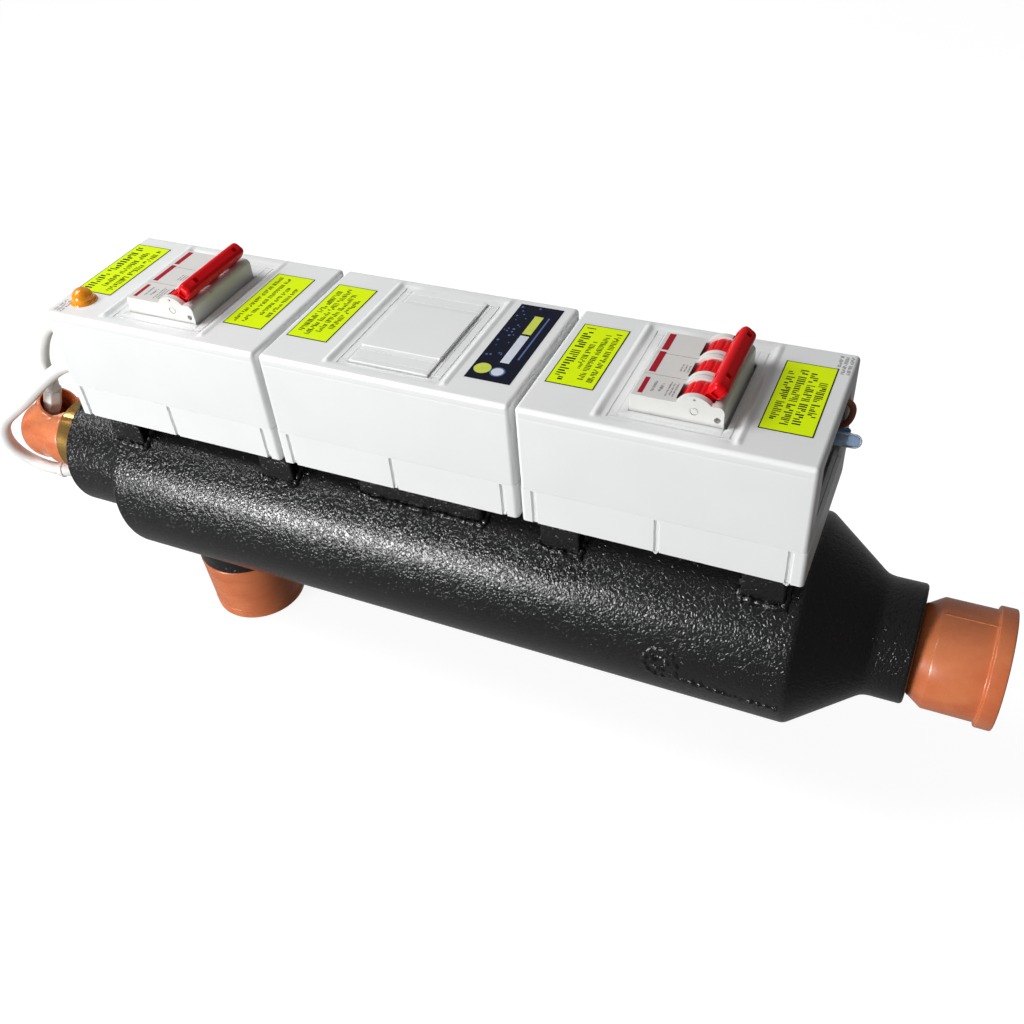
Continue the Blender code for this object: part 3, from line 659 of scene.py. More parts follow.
def cover(number, window, side_opening=None):
    """A box cover: rounded shell, ribs and frame on top, window in the middle."""
    name = f"box_cover_{number}"
    low, high = cad(name)
    middle = (low + high) / 2
    open_low = Vector((low.x, low.y, low.z - EDGE_R))
    (window_x, window_y), (window_x2, window_y2) = window
    xs = [*symmetric(RIB_STOPS, middle.x), *symmetric(FRAME_STOPS_X, middle.x + FRAME_SHIFT),
          window_x, window_x2]
    ys = [*symmetric(FRAME_STOPS_Y), -41, -40, -39, -38, -37.4, 38.6, 39.2, 40, 41, 0,
          window_y, window_y2]
    zs = [high.z - LIP_DROP + shift for shift in (-0.7, -0.35, 0, 0.35, 0.7)]
    opening = side_opening or ((0, 0), (0, 0))
    if side_opening:
        ys += opening[0]
        zs += opening[1]
    lines = grid(low, high, EDGE_R, xs, ys, lines_between(low.z, high.z, EDGE_R, zs, open_low=True))

    def place(point):
        moved = rounded(point, open_low, high, EDGE_R)
        if point.z > high.z - 1e-6:
            moved.z += top_relief(point.x - middle.x, point.y)
        press = 0.14 * groove(point.z, high.z - LIP_DROP, 0.7, 0.6)
        for axis in range(2):
            if moved[axis] < low[axis] + 0.01:
                moved[axis] += press
            elif moved[axis] > high[axis] - 0.01:
                moved[axis] -= press
        return moved

    def keep(axis, end, spot):
        if axis == 2:
            in_window = window_x < spot.x < window_x2 and window_y < spot.y < window_y2
            return end > 0 and not in_window
        (low_y, high_y), (low_z, high_z) = opening
        at_opening = low_y < spot.y < high_y and low_z < spot.z < high_z
        return not (axis == 0 and end > 0 and at_opening)

    piece(name + "_shell", box_skin(lines, place, keep), "white_abs", [name], f"cover_{number}",
          thick=WALL, flat=True)


def base(number, floor_holes=(), drills=()):
    """A box base: a shell with soft grooves on its long sides, and a tongue for the cover."""
    name = f"box_base_{number}"
    low, high = cad(name)
    rim = cad(f"box_cover_{number}")[0].z - 0.12
    middle = (low + high) / 2
    tall_low = Vector((low.x, low.y, low.z - EDGE_R))
    tall_high = Vector((high.x, high.y, rim + EDGE_R))
    grooves = [middle.x + shift for shift in (-GROOVE_PITCH, 0, GROOVE_PITCH)]
    xs = [g + shift for g in grooves for shift in (-1.5, -1.15, -0.8, 0, 0.8, 1.15, 1.5)]
    ys = [0]
    for (x, y), (x2, y2) in floor_holes:
        xs += [x, x2]
        ys += [y, y2]
    lines = grid(low, high, EDGE_R, xs, ys, [low.z, low.z + 0.7, rim - 1.6, rim - 0.8, rim])

    def place(point):
        moved = rounded(point, tall_low, tall_high, EDGE_R)
        depth = GROOVE_DEPTH * max(groove(point.x, g, 1.5, 0.7) for g in grooves)
        depth *= ease(point.z, rim - 0.8, rim - 1.6)
        if moved.y < low.y + 0.01:
            moved.y += depth
        elif moved.y > high.y - 0.01:
            moved.y -= depth
        return moved

    def keep(axis, end, spot):
        if axis < 2:
            return True
        holed = any(x < spot.x < x2 and y < spot.y < y2 for (x, y), (x2, y2) in floor_holes)
        return end < 0 and not holed

    skin = box_skin(lines, place, keep)
    shell = worked(skin, walled(WALL) + less(*drills))
    inset = WALL + 0.4
    tongue_low = Vector((low.x + inset, low.y + inset, rim - 6))
    tongue_high = Vector((high.x - inset, high.y - inset, high.z))
    tongue_lines = grid(tongue_low, tongue_high, TONGUE_R, (), (), [tongue_low.z, tongue_high.z])
    stretch = Vector((0, 0, TONGUE_R))
    ring = box_skin(
        tongue_lines, lambda p: rounded(p, tongue_low - stretch, tongue_high + stretch, TONGUE_R),
        lambda axis, end, spot: axis < 2)
    tongue = worked(ring, walled(1.6))
    piece(name + "_shell", joined(shell, tongue), "white_abs", [name], flat=True)


def enclosures():
    """The three boxes with their windows, and the blanking plate of the middle one."""
    for number, breaker in ((1, "breaker_1"), (3, "breaker_2")):
        low, high = cad(breaker)
        nose = (low.x + high.x) / 2
        window = ((nose - 22.5, low.y - 0.5), (nose + 23.6, high.y + 0.5))
        side = None if number == 1 else SIDE_OPENING
        cover(number, window, side)
    plate_low, plate_high = cad("blanking_plate")
    cover(2, ((plate_low.x - 0.3, plate_low.y - 0.3), (plate_high.x + 0.3, plate_high.y + 0.3)))

    base(1, drills=[rod(LEAD_R + 0.4, -60, -40, ALONG, (0, y, LEAD_ENTRY_Z)) for y in LEAD_HOLES_Y])
    low, high = cad("reset_thermostat")
    thermostat = (low + high) / 2
    base(2, FLOOR_SLOTS, [rod(7.3, 160, 190, centre=(thermostat.x, thermostat.y, 0))])
    base(3)
    blanking_plate(plate_low, plate_high)


def blanking_plate(low, high):
    """The plate that closes the middle window: a raised field and stepped strips at both ends."""
    xs = [low.x + 1.2, low.x + 1.6, high.x - 1.6, high.x - 1.2]
    ys = symmetric((21, 21.35, 21.8, 24.4, 24.7, 25, 31.4, 31.7, 32))
    lines = grid(low, high, 0.6, xs, ys, [low.z, high.z - 0.9])

    def place(point):
        moved = Vector(point)
        if point.z > low.z:
            field = ease(abs(point.y), 21.8, 21)
            inset = ease(min(point.x - low.x, high.x - point.x), 1.1, 1.6)
            strip = groove(abs(point.y), 24.7, 0.4, 0.3) + groove(abs(point.y), 31.7, 0.4, 0.3)
            moved.z += 0.75 * field + 0.3 * inset * (1.0 - field) - 0.45 * min(strip, 1) * inset
        return moved

    piece("blanking_plate_face", box_skin(lines, place), "white_abs", ["blanking_plate"], "cover_2",
          flat=True)


# Labels: film with a thin border and rows of plain dashes where a label has its print

def sheet_of(low_x, high_x, low_y, high_y, bottom, thick):
    soft = min(thick * 0.4, 0.05)
    return block((low_x, low_y, bottom), (high_x, high_y, bottom + thick), soft, 1)


def dashes(rows, low_y, high_y, bottom, seed, number=1):
    """Rows of plain strokes; a row is its middle X, its height and the share of its length used."""
    chance = random.Random(seed)
    strips = []
    for middle, height, share in rows:
        centre, half = (low_y + high_y) / 2, (high_y - low_y) * share / 2
        y, left_in_word = centre - half, chance.randint(5, 14)
        while y < centre + half:
            wide = height * chance.uniform(0.14, 0.28)
            tall = height * chance.choice((1, 1, 0.72, 0.5))
            start = middle + chance.choice((-0.5, 0.5)) * (height - tall) - tall / 2
            stroke = sheet_of(start, start + tall, y, y + wide, bottom, INK_THICK)
            strips.append(inked(stroke, number))
            left_in_word -= 1
            y += wide + height * (chance.uniform(0.12, 0.26) if left_in_word else 0.6)
            if not left_in_word:
                left_in_word = chance.randint(5, 14)
    return strips


# Each label's body, two corners, and rows of print as place across, height and length
LABELS = {
    "heater_label": ("cover_1", (-48.4, -20), (-24.1, 35.6),
                     ((0.22, 5, 0.98), (0.53, 3.9, 0.8), (0.8, 3.9, 0.96))),
    "maker_label": ("cover_1", (56, -24.4), (80.5, 30),
                    ((0.2, 2.6, 0.98), (0.42, 2.6, 0.94), (0.64, 2.6, 0.6), (0.84, 2.6, 0.64))),
    "reset_label": ("cover_2", (96.4, -24.5), (120.8, 29.7),
                    ((0.2, 3.2, 0.86), (0.4, 3.2, 0.96), (0.6, 3.2, 0.8), (0.8, 3.2, 0.62))),
    "pump_label": ("cover_3", (240.5, -21.5), (265, 32.2),
                   ((0.2, 4.8, 0.98), (0.44, 3, 0.5), (0.63, 3, 0.86), (0.83, 3, 0.9))),
    "mains_label": ("cover_3", (343.4, -25), (367.7, 30.5),
                    ((0.2, 3.8, 0.8), (0.41, 3.8, 0.9), (0.62, 3.8, 0.84), (0.83, 3.8, 0.55))),
}


def label(name, body, low, high, rows, seed, top):
    """A fluorescent label between two (x, y) corners."""
    (x, y), (x2, y2) = low, high
    bottom = top + LABEL_THICK
    edge = 0.55
    parts = [inked(sheet_of(x, x2, y, y2, top + LIFT, LABEL_THICK), 1),
             inked(sheet_of(x + edge, x2 - edge, y + edge, y2 - edge, bottom, INK_THICK), 0)]
    placed = [(x + share * (x2 - x), height, length) for share, height, length in rows]
    parts += dashes(placed, y + 3, y2 - 3, bottom + INK_THICK, seed)
    piece(name, joined(*parts), ["yellow_film", "dark_ink"], body=body)


def labels():
    """Every label and print on the covers."""
    top = cad("box_cover_1")[1].z
    for seed, (name, (body, low, high, lines)) in enumerate(LABELS.items()):
        label(name, body, low, high, lines, seed + 3, top)
    navy_label(top)
    prints(top)


def navy_label(top):
    """The dark label: scattered dots, plain discs and plain bars."""
    low_x, high_x, low_y, high_y = 201.8, 226, -29.8, 40.6
    face = top + LIFT + LABEL_THICK
    chance = random.Random(11)
    parts = [inked(sheet_of(low_x, high_x, low_y, high_y, top + LIFT, LABEL_THICK), 0)]
    for _ in range(26):
        x = low_x + 1.5 + (high_x - low_x) * 0.42 * chance.random()
        y = low_y + 18 + (high_y - low_y - 20) * chance.random()
        dot = rod(chance.uniform(0.3, 0.75), face, face + INK_THICK, centre=(x, y, 0), sides=12)
        parts.append(inked(dot, 3))
    for radius, x, y, layers, ink in ((4.4, 207.6, -20.6, 1, 2), (3.9, 216, -21.6, 1, 3),
                                      (3.1, 216, -21.6, 2, 1)):
        disc = rod(radius, face, face + layers * INK_THICK, centre=(x, y, 0), sides=40)
        parts.append(inked(disc, ink))
    for x, x2, y, y2, ink in ((213.6, 218.4, -13.5, 12, 1), (213.6, 218.4, 13.6, 31, 2),
                              (221, 221.9, -9, 31, 3)):
        parts.append(inked(sheet_of(x, x2, y, y2, face, INK_THICK), ink))
    inks = ["navy_film", "pale_ink", "lime_ink", "blue_ink"]
    piece("navy_label", joined(*parts), inks, body="cover_2")


def prints(top):
    """Small printed specks by the lamp and at the far right of the covers."""
    rows = [(-45.2 + 2.3 * k, 1.5, 0.9) for k in range(3)]
    specks = dashes(rows, -43, -30.5, top + LIFT, 21, 0)
    piece("lamp_print", joined(*specks), "grey_ink", body="cover_1")
    rows = [(367.2 + 2.5 * k, 1.7, 0.95) for k in range(3)]
    specks = dashes(rows, 26.5, 42.5, top - LIFT, 22, 0)
    piece("cover_print", joined(*specks), "grey_ink", body="cover_3")


# Vessel

def on_tube(x, y, depth=0):
    """The point of the tube's upper surface above (x, y), or a little under it."""
    return Vector((x, y, TUBE_Z + math.sqrt((TUBE_R - depth) ** 2 - y * y)))


def vessel():
    """The welded shell, its inlet stub and its weld beads."""
    tube_low, tube_high = cad("vessel_tube")
    tube_r = (tube_high.z - tube_low.z) / 2
    axis = Vector((0, 0, (tube_high.z + tube_low.z) / 2))
    socket_low, socket_high = cad("end_socket")
    socket_r = (socket_high.z - socket_low.z) / 2
    neck_end = cad("outlet_reducer")[1].x
    neck_r, bore_r, wall, lip = 31.5, 25.3, 3, 2.0
    cone_start, cone_end = tube_high.x, 409.5
    slope = math.degrees(math.atan2(cone_end - cone_start, tube_r - neck_r))
    shoulder = arc((tube_r - 7, cone_start - 2), 7, 0, 90.0 - slope, 6)
    straight = cone_start - tube_low.x - 12.0
    outline = [
        (bore_r, socket_low.x), *arc((socket_r - lip, socket_low.x + lip), lip, -90, 0),
        (socket_r, socket_high.x - 4), (socket_r + 1.2, socket_high.x),
        *arc((tube_r - 4, socket_high.x + 4), 4, -90, 0),
        *[(tube_r, tube_low.x + 8.0 + straight * k / 40) for k in range(41)],
        *shoulder, (neck_r + 2, cone_end - 2.2), (neck_r + 0.9, cone_end - 0.4),
        (neck_r + 0.3, cone_end + 1.6), (neck_r, cone_end + 4),
        *arc((neck_r - lip, neck_end - lip), lip, 0, 90),
        (neck_r - wall, neck_end), (neck_r - wall, cone_end), (tube_r - wall, cone_start),
        (tube_r - wall, tube_low.x + 4), (bore_r, tube_low.x + 4),
    ]
    inlet_bore = rod(29.2, 20, 90, sides=64)
    skin = worked(turned(outline, ALONG, axis, 128), less(inlet_bore))
    piece("vessel_skin", skin, "black_coat", ["vessel_tube", "outlet_reducer", "end_socket"])

    stub_low, stub_high = cad("inlet_stub")
    stub_r = (stub_high.x - stub_low.x) / 2
    stub = [(stub_r - wall, stub_low.z), (stub_r, stub_low.z), (stub_r, 70),
            (stub_r - wall, 70)]
    solid = worked(turned(stub), less(rod(tube_r - 0.6, -80, 80, ALONG, axis, 128)))
    piece("inlet_stub_skin", solid, "black_coat", ["inlet_stub"])

    welds = [ring_weld(socket_r + 0.1, socket_high.x - 0.6, axis, 1.6, 1)]
    line = [Vector((stub_r * x, stub_r * y, axis.z - math.sqrt(tube_r ** 2 - (stub_r * y) ** 2)))
            for x, y in circle(160)]
    welds.append(weld_along(line, 1.4, 1.8, 0.5, 3))
    piece("vessel_welds", joined(*welds), "black_coat", sharp=60)
    weld_marks(axis, tube_r)


def weld_along(line, spacing, thick, lumps, seed):
    """A lumpy weld that follows a closed line."""
    return swept(evenly([*line, line[0]], spacing)[:-1], thick, 12, True, lumps, seed)


def ring_weld(radius, x, axis, thick, seed):
    """A lumpy weld round the vessel at x."""
    points = [axis + Vector((x, radius * y, radius * z))
              for y, z in circle(int(2 * math.pi * radius / 1.4))]
    return swept(points, thick, 12, True, 0.45, seed)


def weld_marks(axis, radius):
    """A plugged port's ring of weld and the tail of a repair seam, on the vessel's front."""
    sunk = radius - WELD_R

    def at(x, angle):
        turn = math.radians(angle)
        return axis + Vector((x, -sunk * math.cos(turn), sunk * math.sin(turn)))

    ring = [at(311.8 + 8.6 * c, -1.6 + 10.6 * s) for c, s in circle(40)]
    inner = [at(311.5 + 3.6 * c, -1.2 + 4.6 * s) for c, s in circle(40)]
    seam = [at(320.0 + 1.3 * k, -9.4 - 3.6 * math.sin(min(k, 30) / 19.1)) for k in range(42)]
    welds = [swept(ring, 2.7, 16, True, 0.4, 5), swept(inner, 2.6, 16, True, 0.4, 6),
             swept(seam, 2.8, 16, False, 0.42, 7)]
    piece("vessel_weld_marks", joined(*welds), "black_coat", sharp=60)


def saddle(name, replaced, corner):
    """A block that stands on the tube, its foot following the round and its weld along the foot."""
    low, high = cad(replaced)
    ys = [low.y + (high.y - low.y) * k / 16 for k in range(1, 16)]
    lines = grid(low, high, corner, (), ys, [0, 1])
    floor = Vector((low.x, low.y, -corner))
    roof = Vector((high.x, high.y, 1.0 + corner))

    def place(point):
        moved = rounded(point, floor, roof, corner)
        bottom = on_tube(moved.x, moved.y, SEAT_DEPTH).z
        moved.z = bottom + (high.z - bottom) * point.z
        return moved

    body = worked(box_skin(lines, place), softened(0.9, 3, 50))
    corners = [(low.x, low.y), (high.x, low.y), (high.x, high.y), (low.x, high.y)]
    foot = []
    for (x, y), (x2, y2) in zip(corners, corners[1:] + corners[:1]):
        foot += [on_tube(x + (x2 - x) * k / 40, y + (y2 - y) * k / 40) for k in range(40)]
    weld = weld_along(foot, 1.3, WELD_R, 0.6, low.x)
    piece(name, joined(body, weld), "black_coat", [replaced], sharp=50)


def saddles():
    for number in range(1, 5):
        saddle(f"saddle_{number}", f"box_leg_{number}", 1.5)
    saddle("element_pad", "element_neck", 4)


# Pipe fittings

def couplings():
    """The outlet's socket along X and the inlet's under the vessel, along Z."""
    low, high = cad("outlet_coupling")
    centre = Vector((0, (low.y + high.y) / 2, (low.z + high.z) / 2))
    start, end, collar = low.x, high.x, (high.z - low.z) / 2
    body = collar - 2.2
    outline = [
        (21, start), (23.2, start), (24, start + 0.7), (24.3, start + 1.6),
        (body - 0.5, start + 7.6), (body, start + 8.6), (body + 0.05, end - 9.6),
        *arc((body + 1, end - 9.2), 1, 180, 90, 4), (collar - 0.8, end - 8.2),
        *arc((collar - 0.9, end - 7.3), 0.9, -90, 0, 4),
        *arc((collar - 0.8, end - 0.8), 0.8, 0, 90, 4),
        *arc((26.4, end - 1.3), 1.3, 90, 180, 4), (25.1, end - 5), (24.9, start + 11.5),
        (21, start + 11.5),
    ]
    ends = [centre + Vector((x, -0.5, body)) for x in (start + 9, end - 9)]
    shape = joined(turned(outline, ALONG, centre, 112), swept(ends, 0.35, 8))
    piece("outlet_coupling_body", shape, "brown_pvc", ["outlet_coupling"])

    low, high = cad("inlet_coupling")
    top, mouth, widest = high.z, 30.7, (high.x - low.x) / 2
    proud = mouth + 0.28
    outline = [
        (21, 34), (25, 34), (25.1, 1.4), *arc((26.4, 1.4), 1.3, 180, 270, 4),
        *arc((mouth - 0.8, 0.9), 0.8, 270, 360, 4), (mouth + 0.05, 3.2), (proud, 3.5), (proud, 4.2),
        (mouth + 0.1, 4.5), (mouth + 0.12, 6.4), (proud + 0.15, 6.7), (proud + 0.15, 7.4),
        (mouth + 0.2, 7.7), (widest - 0.35, 39), *arc((widest - 1.3, top - 1.3), 1.3, 0, 90, 4),
        (21, top),
    ]
    edge = [Vector((-widest * 0.985 + 1.6 * (1 - z / top), -4, z)) for z in (3, 15, 30, 43)]
    shape = joined(turned(outline, sides=112), swept(edge, 0.5, 8))
    piece("inlet_coupling_body", shape, "brown_pvc", ["inlet_coupling"])


def sensor_end():
    """Brass bushing, elbow, plug and the leads with their sleeve."""
    low, high = cad("sensor_bushing")
    axis = (0, 0, (low.z + high.z) / 2)
    radius, step = (high.z - low.z) / 2, low.x + 7.0
    outline = [(11, low.x), (14.8, low.x), (15.6, low.x + 0.8), (15.6, step),
               (radius - 1.6, step), *arc((radius - 1.4, step + 1.4), 1.4, -90, 0, 4),
               (radius, high.x), (11, high.x)]
    bushing = turned(outline, ALONG, axis)
    piece("sensor_bushing_body", bushing, "brass", ["sensor_bushing"], flat=True)

    bend, mouth = Vector((-147, 0, 106)), Vector((-130.5, 0, 131.5))
    aim, reach = (mouth - bend).normalized(), (mouth - bend).length
    ball = bmesh.new()
    bmesh.ops.create_uvsphere(ball, u_segments=64, v_segments=32, radius=20.5,
                              matrix=Matrix.Translation(bend))
    end = step - 0.3
    arm = [(0, bend.x), (20, bend.x), (22.4, -131.6), (23.6, -130.8), (23.6, end), (0, end)]
    neck = [(0, 1), (18.4, 1), (13.8, reach - 6), (13.5, reach + 0.2), (0, reach + 0.2)]
    steps = [*plus(turned(arm, ALONG, axis, 64), turned(neck, aim, bend, 64)),
             ("REMESH", {"mode": "VOXEL", "voxel_size": 0.55}),
             ("SMOOTH", {"iterations": 24, "factor": 0.5}),
             *less(rod(11.6, 0.5, reach + 6, aim, bend, 64),
                   rod(15.9, bend.x - 2, end + 5, ALONG, axis, 64))]
    piece("sensor_elbow_body", worked(ball, steps), "brown_pvc", ["sensor_elbow"], sharp=50)

    bore = (LEAD_R + 0.3) / math.cos(math.pi / 6)
    outline = [(0, 0), (3.9, 0), (4.5, 0.5), (6, 5.6), (6.2, 6.4), (6.2, 20.6), (6, 21.2),
               (bore + 0.8, 24.2), (bore + 0.2, 24.5), (bore, 24), (bore, 15), (0, 15)]
    plug = turned(outline, PLUG_AIM, PLUG_FOOT, 6)
    ridges = [edge for edge in plug.edges
              if abs((edge.verts[0].co - edge.verts[1].co).normalized().dot(PLUG_AIM)) > 0.9]
    round_edges(plug, ridges, 0.5)
    piece("sensor_plug_body", plug, "white_cable", ["sensor_plug"], flat=True)
    leads()


def leads():
    """The two white leads, and the sleeve with its raised bands that holds the loop."""
    for name, route in (("sensor_lead", SENSOR_ROUTE), ("loop_lead", LOOP_ROUTE)):
        sheath = swept(smooth_route(route, 2.2), LEAD_R, 28)
        piece(name + "_sheath", sheath, "white_cable", [name])
    low, high = cad("lead_sleeve")
    fine = smooth_route(LOOP_ROUTE, 0.8)
    inside = [p for p in fine if low.x - 1.0 < p.x < high.x + 1.0 and p.z < high.z and p.y < 20]
    bands = [swept(part, LEAD_R + proud, 32)
             for part, proud in ((inside[1:-1], 1.1), (inside[3:6], 1.7), (inside[-6:-3], 1.7))]
    piece("lead_sleeve_body", joined(*bands), "white_cable", ["lead_sleeve"])


# Breakers

def breaker(number):
    """A three-pole breaker's housing, its print and its toggle."""
    name = f"breaker_{number}"
    low, high = cad(name)
    middle = (low.x + high.x) / 2
    pivot = Vector((middle + 8.3, 0, high.z - HUMP_R))
    face = pivot.z + FACE_RISE
    poles = [low.y + 9.0 + POLE_PITCH * k for k in range(3)]
    start = 180.0 - math.degrees(math.asin(FACE_RISE / HUMP_R))
    hump = [(x - middle, z) for x, z in arc((pivot.x, pivot.z), HUMP_R, 40, start, 20)]
    foot = [(39, low.z), (18, low.z), (18, 184.3), (-18, 184.3), (-18, low.z), (-39, low.z)]
    outline = [*foot, (-39, 224), (-22, 224), (-22, face - 1.4),
               *arc((-20.8, face - 1.2), 1.2, 170, 90, 4), *reversed(hump), (18.4, face + 1.3),
               *arc((19, face - 1.7), 3, 90, 8, 6), (22, face - 4), (22, 224), (39, 224)]
    solid = prism([(middle + x, z) for x, z in outline], low.y, high.y)
    drums = joined(*[rod(HUMP_R + 0.7, y - 6, y + 6, ACROSS, (pivot.x, 0, pivot.z), 48)
                     for y in poles])
    splits = joined(*[block((middle - 30, y - 0.2, face - 0.55), (middle + 30, y + 0.2, face + 12))
                      for y in (poles[0] + 9, poles[1] + 9)])
    ring = [(1.55, low.y - 1), (2.1, low.y - 1), (2.1, low.y + 0.5), (1.55, low.y + 0.5)]
    holes = joined(rod(1.55, low.y - 2, low.y + 3.2, ACROSS, (middle + 19, 0, face - 5.8), 24),
                   rod(0.6, low.y - 2, low.y + 1.2, ACROSS, (pivot.x, 0, face + 2.9), 16),
                   turned(ring, ACROSS, (pivot.x, 0, face - 3.2), 32))
    screws = joined(*[rod(3.2, 214, 230, centre=(middle + x, y, 0), sides=24)
                      for x in (-30, 30) for y in poles])
    shape = worked(solid, [*less(drums, splits, holes, screws), *softened(0.3, 2, 40)])
    piece(name + "_housing", shape, "grey_plastic", [name], flat=True)
    breaker_prints(name, middle, face, low, poles)
    toggle(number, pivot, poles)


def breaker_prints(name, middle, face, low, poles):
    """Two red stripes and some small generic marks on a breaker's face."""
    stripes = joined(*[sheet_of(middle - 19.3, middle - 16.1, y, y2, face, STRIPE_THICK)
                       for y, y2 in ((-9.8, 7.7), (9.3, 23.6))])
    piece(name + "_stripes", stripes, "red_ink")
    rows = [(middle - 13, 1.3, 0.55), (middle - 9.6, 1.5, 0.4), (middle - 6.2, 0.9, 0.75),
            (middle - 4.6, 0.9, 0.6), (middle - 3, 0.9, 0.7)]
    marks = dashes(rows, low.y + 1.2, poles[0] + 7.5, face, 31, 0)
    rows = [(middle - 5.4 + 1.7 * k, 0.8, 0.9) for k in range(3)]
    marks += dashes(rows, poles[1] - 3.5, poles[1] + 3, face, 32, 0)
    piece(name + "_marks", joined(*marks), "grey_ink")
    name_bar = sheet_of(middle - 18.9, middle - 16.6, low.y + 2.2, low.y + 15, face, STRIPE_THICK)
    piece(name + "_bar", name_bar, "red_ink")


def toggle(number, pivot, poles):
    """The rocker drums of three poles and the bar that ties them."""
    low, high = cad(f"toggle_{number}")
    lean = Matrix.Translation(pivot) @ Matrix.Rotation(math.radians(HANDLE_LEAN), 4, "Y")
    half, reach = HANDLE_HALF, HANDLE_REACH
    bar = block((-half, low.y, reach - half), (half, high.y, reach + half), 2.7, 5)
    ends = (poles[0] + 2, poles[2] + 1)
    pockets = [block((-1.3, y - 1.3, reach + half - 1.6), (1.3, y + 1.3, reach + 8)) for y in ends]
    pockets += [block((-8, y - 1.3, reach - 1.4), (-half + 1.3, y + 1.3, reach + 1.4))
                for y in ends]
    pockets += [block((-1.9, low.y - 3, reach - 2.4), (1.9, low.y + 1.4, reach + 0.6))]
    bar = worked(bar, [*less(joined(*pockets)), *softened(0.25, 2, 45)])
    bar.transform(lean)
    parts = [bar]
    for y in poles:
        radii = [DRUM_R - (0.5 if k % 8 < 2 else 0) for k in range(96)]
        outline = [(radius * x, radius * z) for radius, (x, z) in zip(radii, circle(96))]
        drum = prism(outline, y - 5.5, y + 5.5)
        drum = worked(drum, [*less(rod(1.8, -60, 60, ACROSS, sides=24)), *softened(0.2, 1, 30)])
        drum.transform(lean)
        stem = block((-2.7, y - 4.6, 5), (2.7, y + 4.6, reach), 0.6, 2)
        stem.transform(lean)
        parts += [drum, stem]
    piece(f"toggle_{number}_bar", joined(*parts), "red_plastic", [f"toggle_{number}"],
          f"handle_{number}", sharp=40, flat=True)


# Pilot lamp, splice and wires

def lamp():
    """The pilot lamp's dome, a flattened half ball on a short foot, and its bezel."""
    low, high = cad("lamp_lens")
    centre = ((low.x + high.x) / 2, (low.y + high.y) / 2, 0)
    radius, foot = (high.x - low.x) / 2, low.z
    rise = high.z - foot - 1.6
    curve = [math.radians(4.5 * k) for k in range(1, 20)]
    outline = [(0, foot), (radius, foot), (radius, foot + 0.9), (radius - 0.35, foot + 1.3),
               (radius - 0.6, foot + 1.6),
               *[((radius - 0.6) * math.cos(a), foot + 1.6 + rise * math.sin(a)) for a in curve],
               (0, high.z)]
    dome = turned(outline, centre=centre, sides=72)
    piece("lamp_dome", dome, "amber_lens", ["lamp_lens"], "cover_1")
    outline = [(radius - 0.2, foot - 0.1), (radius + 0.9, foot - 0.1), (radius + 0.7, foot + 0.45),
               (radius - 0.2, foot + 0.45)]
    piece("lamp_bezel", turned(outline, centre=centre, sides=72), "amber_lens", body="cover_1")


def splice():
    """The spare mains leads in the side opening, and the clear cap on one of them."""
    for name, route in (("brown", BROWN_ROUTE), ("blue", BLUE_ROUTE)):
        wire = swept(smooth_route(route, 1.2), WIRE_R, 20)
        piece(f"{name}_wire", wire, f"{name}_wire", [f"{name}_lead"])
    low, high = cad("splice_cap")
    centre = (0, (low.y + high.y) / 2, (low.z + high.z) / 2)
    radius = (high.z - low.z) / 2
    dome = arc((0, 0), 1, 0, 90, 8)
    outer = [(radius * r, high.x - 3.6 + 3.6 * h) for r, h in dome]
    inner = [((radius - 0.9) * r, high.x - 4.2 + 3.3 * h) for r, h in reversed(dome)]
    shell = turned([(radius, low.x), *outer, *inner, (radius - 0.9, low.x)], ALONG, centre, 40)
    piece("splice_cap_shell", shell, "clear_cap", ["splice_cap"])
    outline = [(0, low.x), (1.5, low.x), (1.5, high.x - 7), (0.8, high.x - 6.2),
               (0, high.x - 6)]
    piece("splice_core", turned(outline, ALONG, centre, 20), "zinc_steel")


def hidden_parts():
    """CAD nodes that keep their own shape get a full material."""
    stood_for = set()
    for made in bpy.context.scene.objects:
        stood_for.update(made.get("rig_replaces", []))
    slot_of = {row["node"]: row["material_slot"] for row in frame["record"]["subparts"]}
    for name, node in frame["nodes"].items():
        if name in stood_for:
            continue
        node.data.materials.clear()
        node.data.materials.append(FINISHES[slot_of[name]])


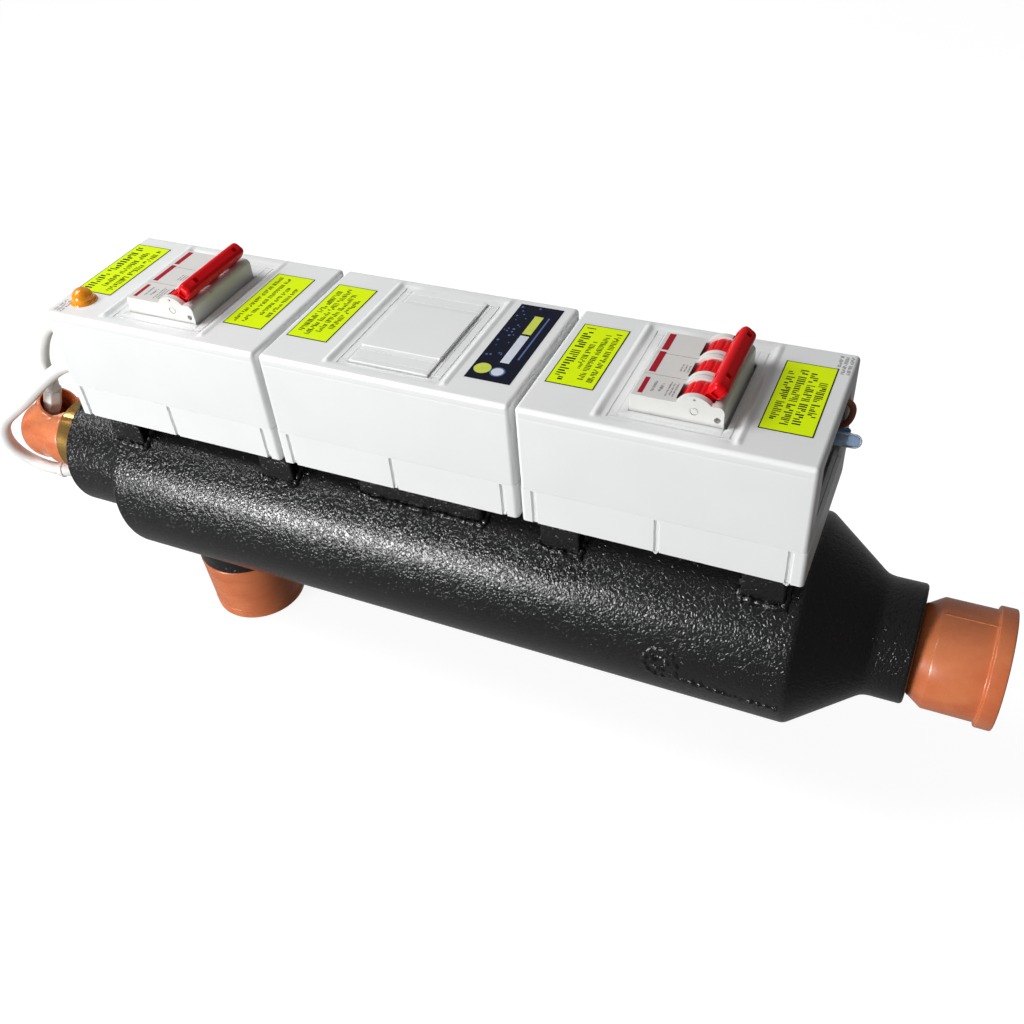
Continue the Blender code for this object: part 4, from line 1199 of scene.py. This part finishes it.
def studio():
    """Pale floor, even world light, soft boxes and the camera."""
    bm = bmesh.new()
    bmesh.ops.create_grid(bm, x_segments=8, y_segments=8, size=FLOOR_HALF)
    floor = in_scene("floor", bm)
    floor.location.z = -FLOOR_GAP
    paper = Finish("pale_floor", specular=0.1, shine=FLOOR_GLOW)
    paper.colour(paper.grain(3), (0.3, (0.28, 0.28, 0.28)), (0.7, (0.3, 0.3, 0.3)))
    paper.rough(paper.grain(40), 0.7, 0.8)
    paper.shader.inputs["Emission Color"].default_value = (1.0, 1.0, 1.0, 1.0)
    floor.data.materials.append(paper.material)
    floor.visible_diffuse = False
    floor.visible_glossy = False

    scene = bpy.context.scene
    world = bpy.data.worlds.new("studio")
    world.use_nodes = True
    tree = world.node_tree
    aim = add_node(tree, "ShaderNodeTexCoord").outputs["Generated"]
    split = add_node(tree, "ShaderNodeSeparateXYZ", {"Vector": aim}).outputs["X"]
    fade = add_node(tree, "ShaderNodeMapRange", {"Value": split, "From Min": 0.0, "From Max": 0.6,
                                                 "To Min": WORLD_LIGHT, "To Max": DARK_SIDE})
    glow = tree.nodes["Background"].inputs
    glow["Color"].default_value = (1.0, 1.0, 1.0, 1.0)
    tree.links.new(fade.outputs["Result"], glow["Strength"])
    scene.world = world
    scene.view_settings.view_transform = "Standard"

    for name, place, target, size, strength in SOFTBOXES:
        light = bpy.data.lights.new(name, "AREA")
        light.shape = "RECTANGLE"
        light.size, light.size_y = (side * MM for side in size)
        light.energy = strength * light.size * light.size_y * math.pi
        made = in_scene(name, light)
        made.location = Vector(place) * MM
        made.rotation_euler = (Vector(target) - Vector(place)).to_track_quat("-Z", "Y").to_euler()

    view = bpy.data.cameras.new("camera")
    view.lens = CAMERA_LENS
    camera = in_scene("camera", view)
    camera.location = Vector(CAMERA_PLACE) * MM
    camera.rotation_euler = [math.radians(angle) for angle in CAMERA_TURN]
    scene.camera = camera


studio()
enclosures()
labels()
vessel()
saddles()
couplings()
sensor_end()
breaker(1)
breaker(2)
lamp()
splice()
hidden_parts()
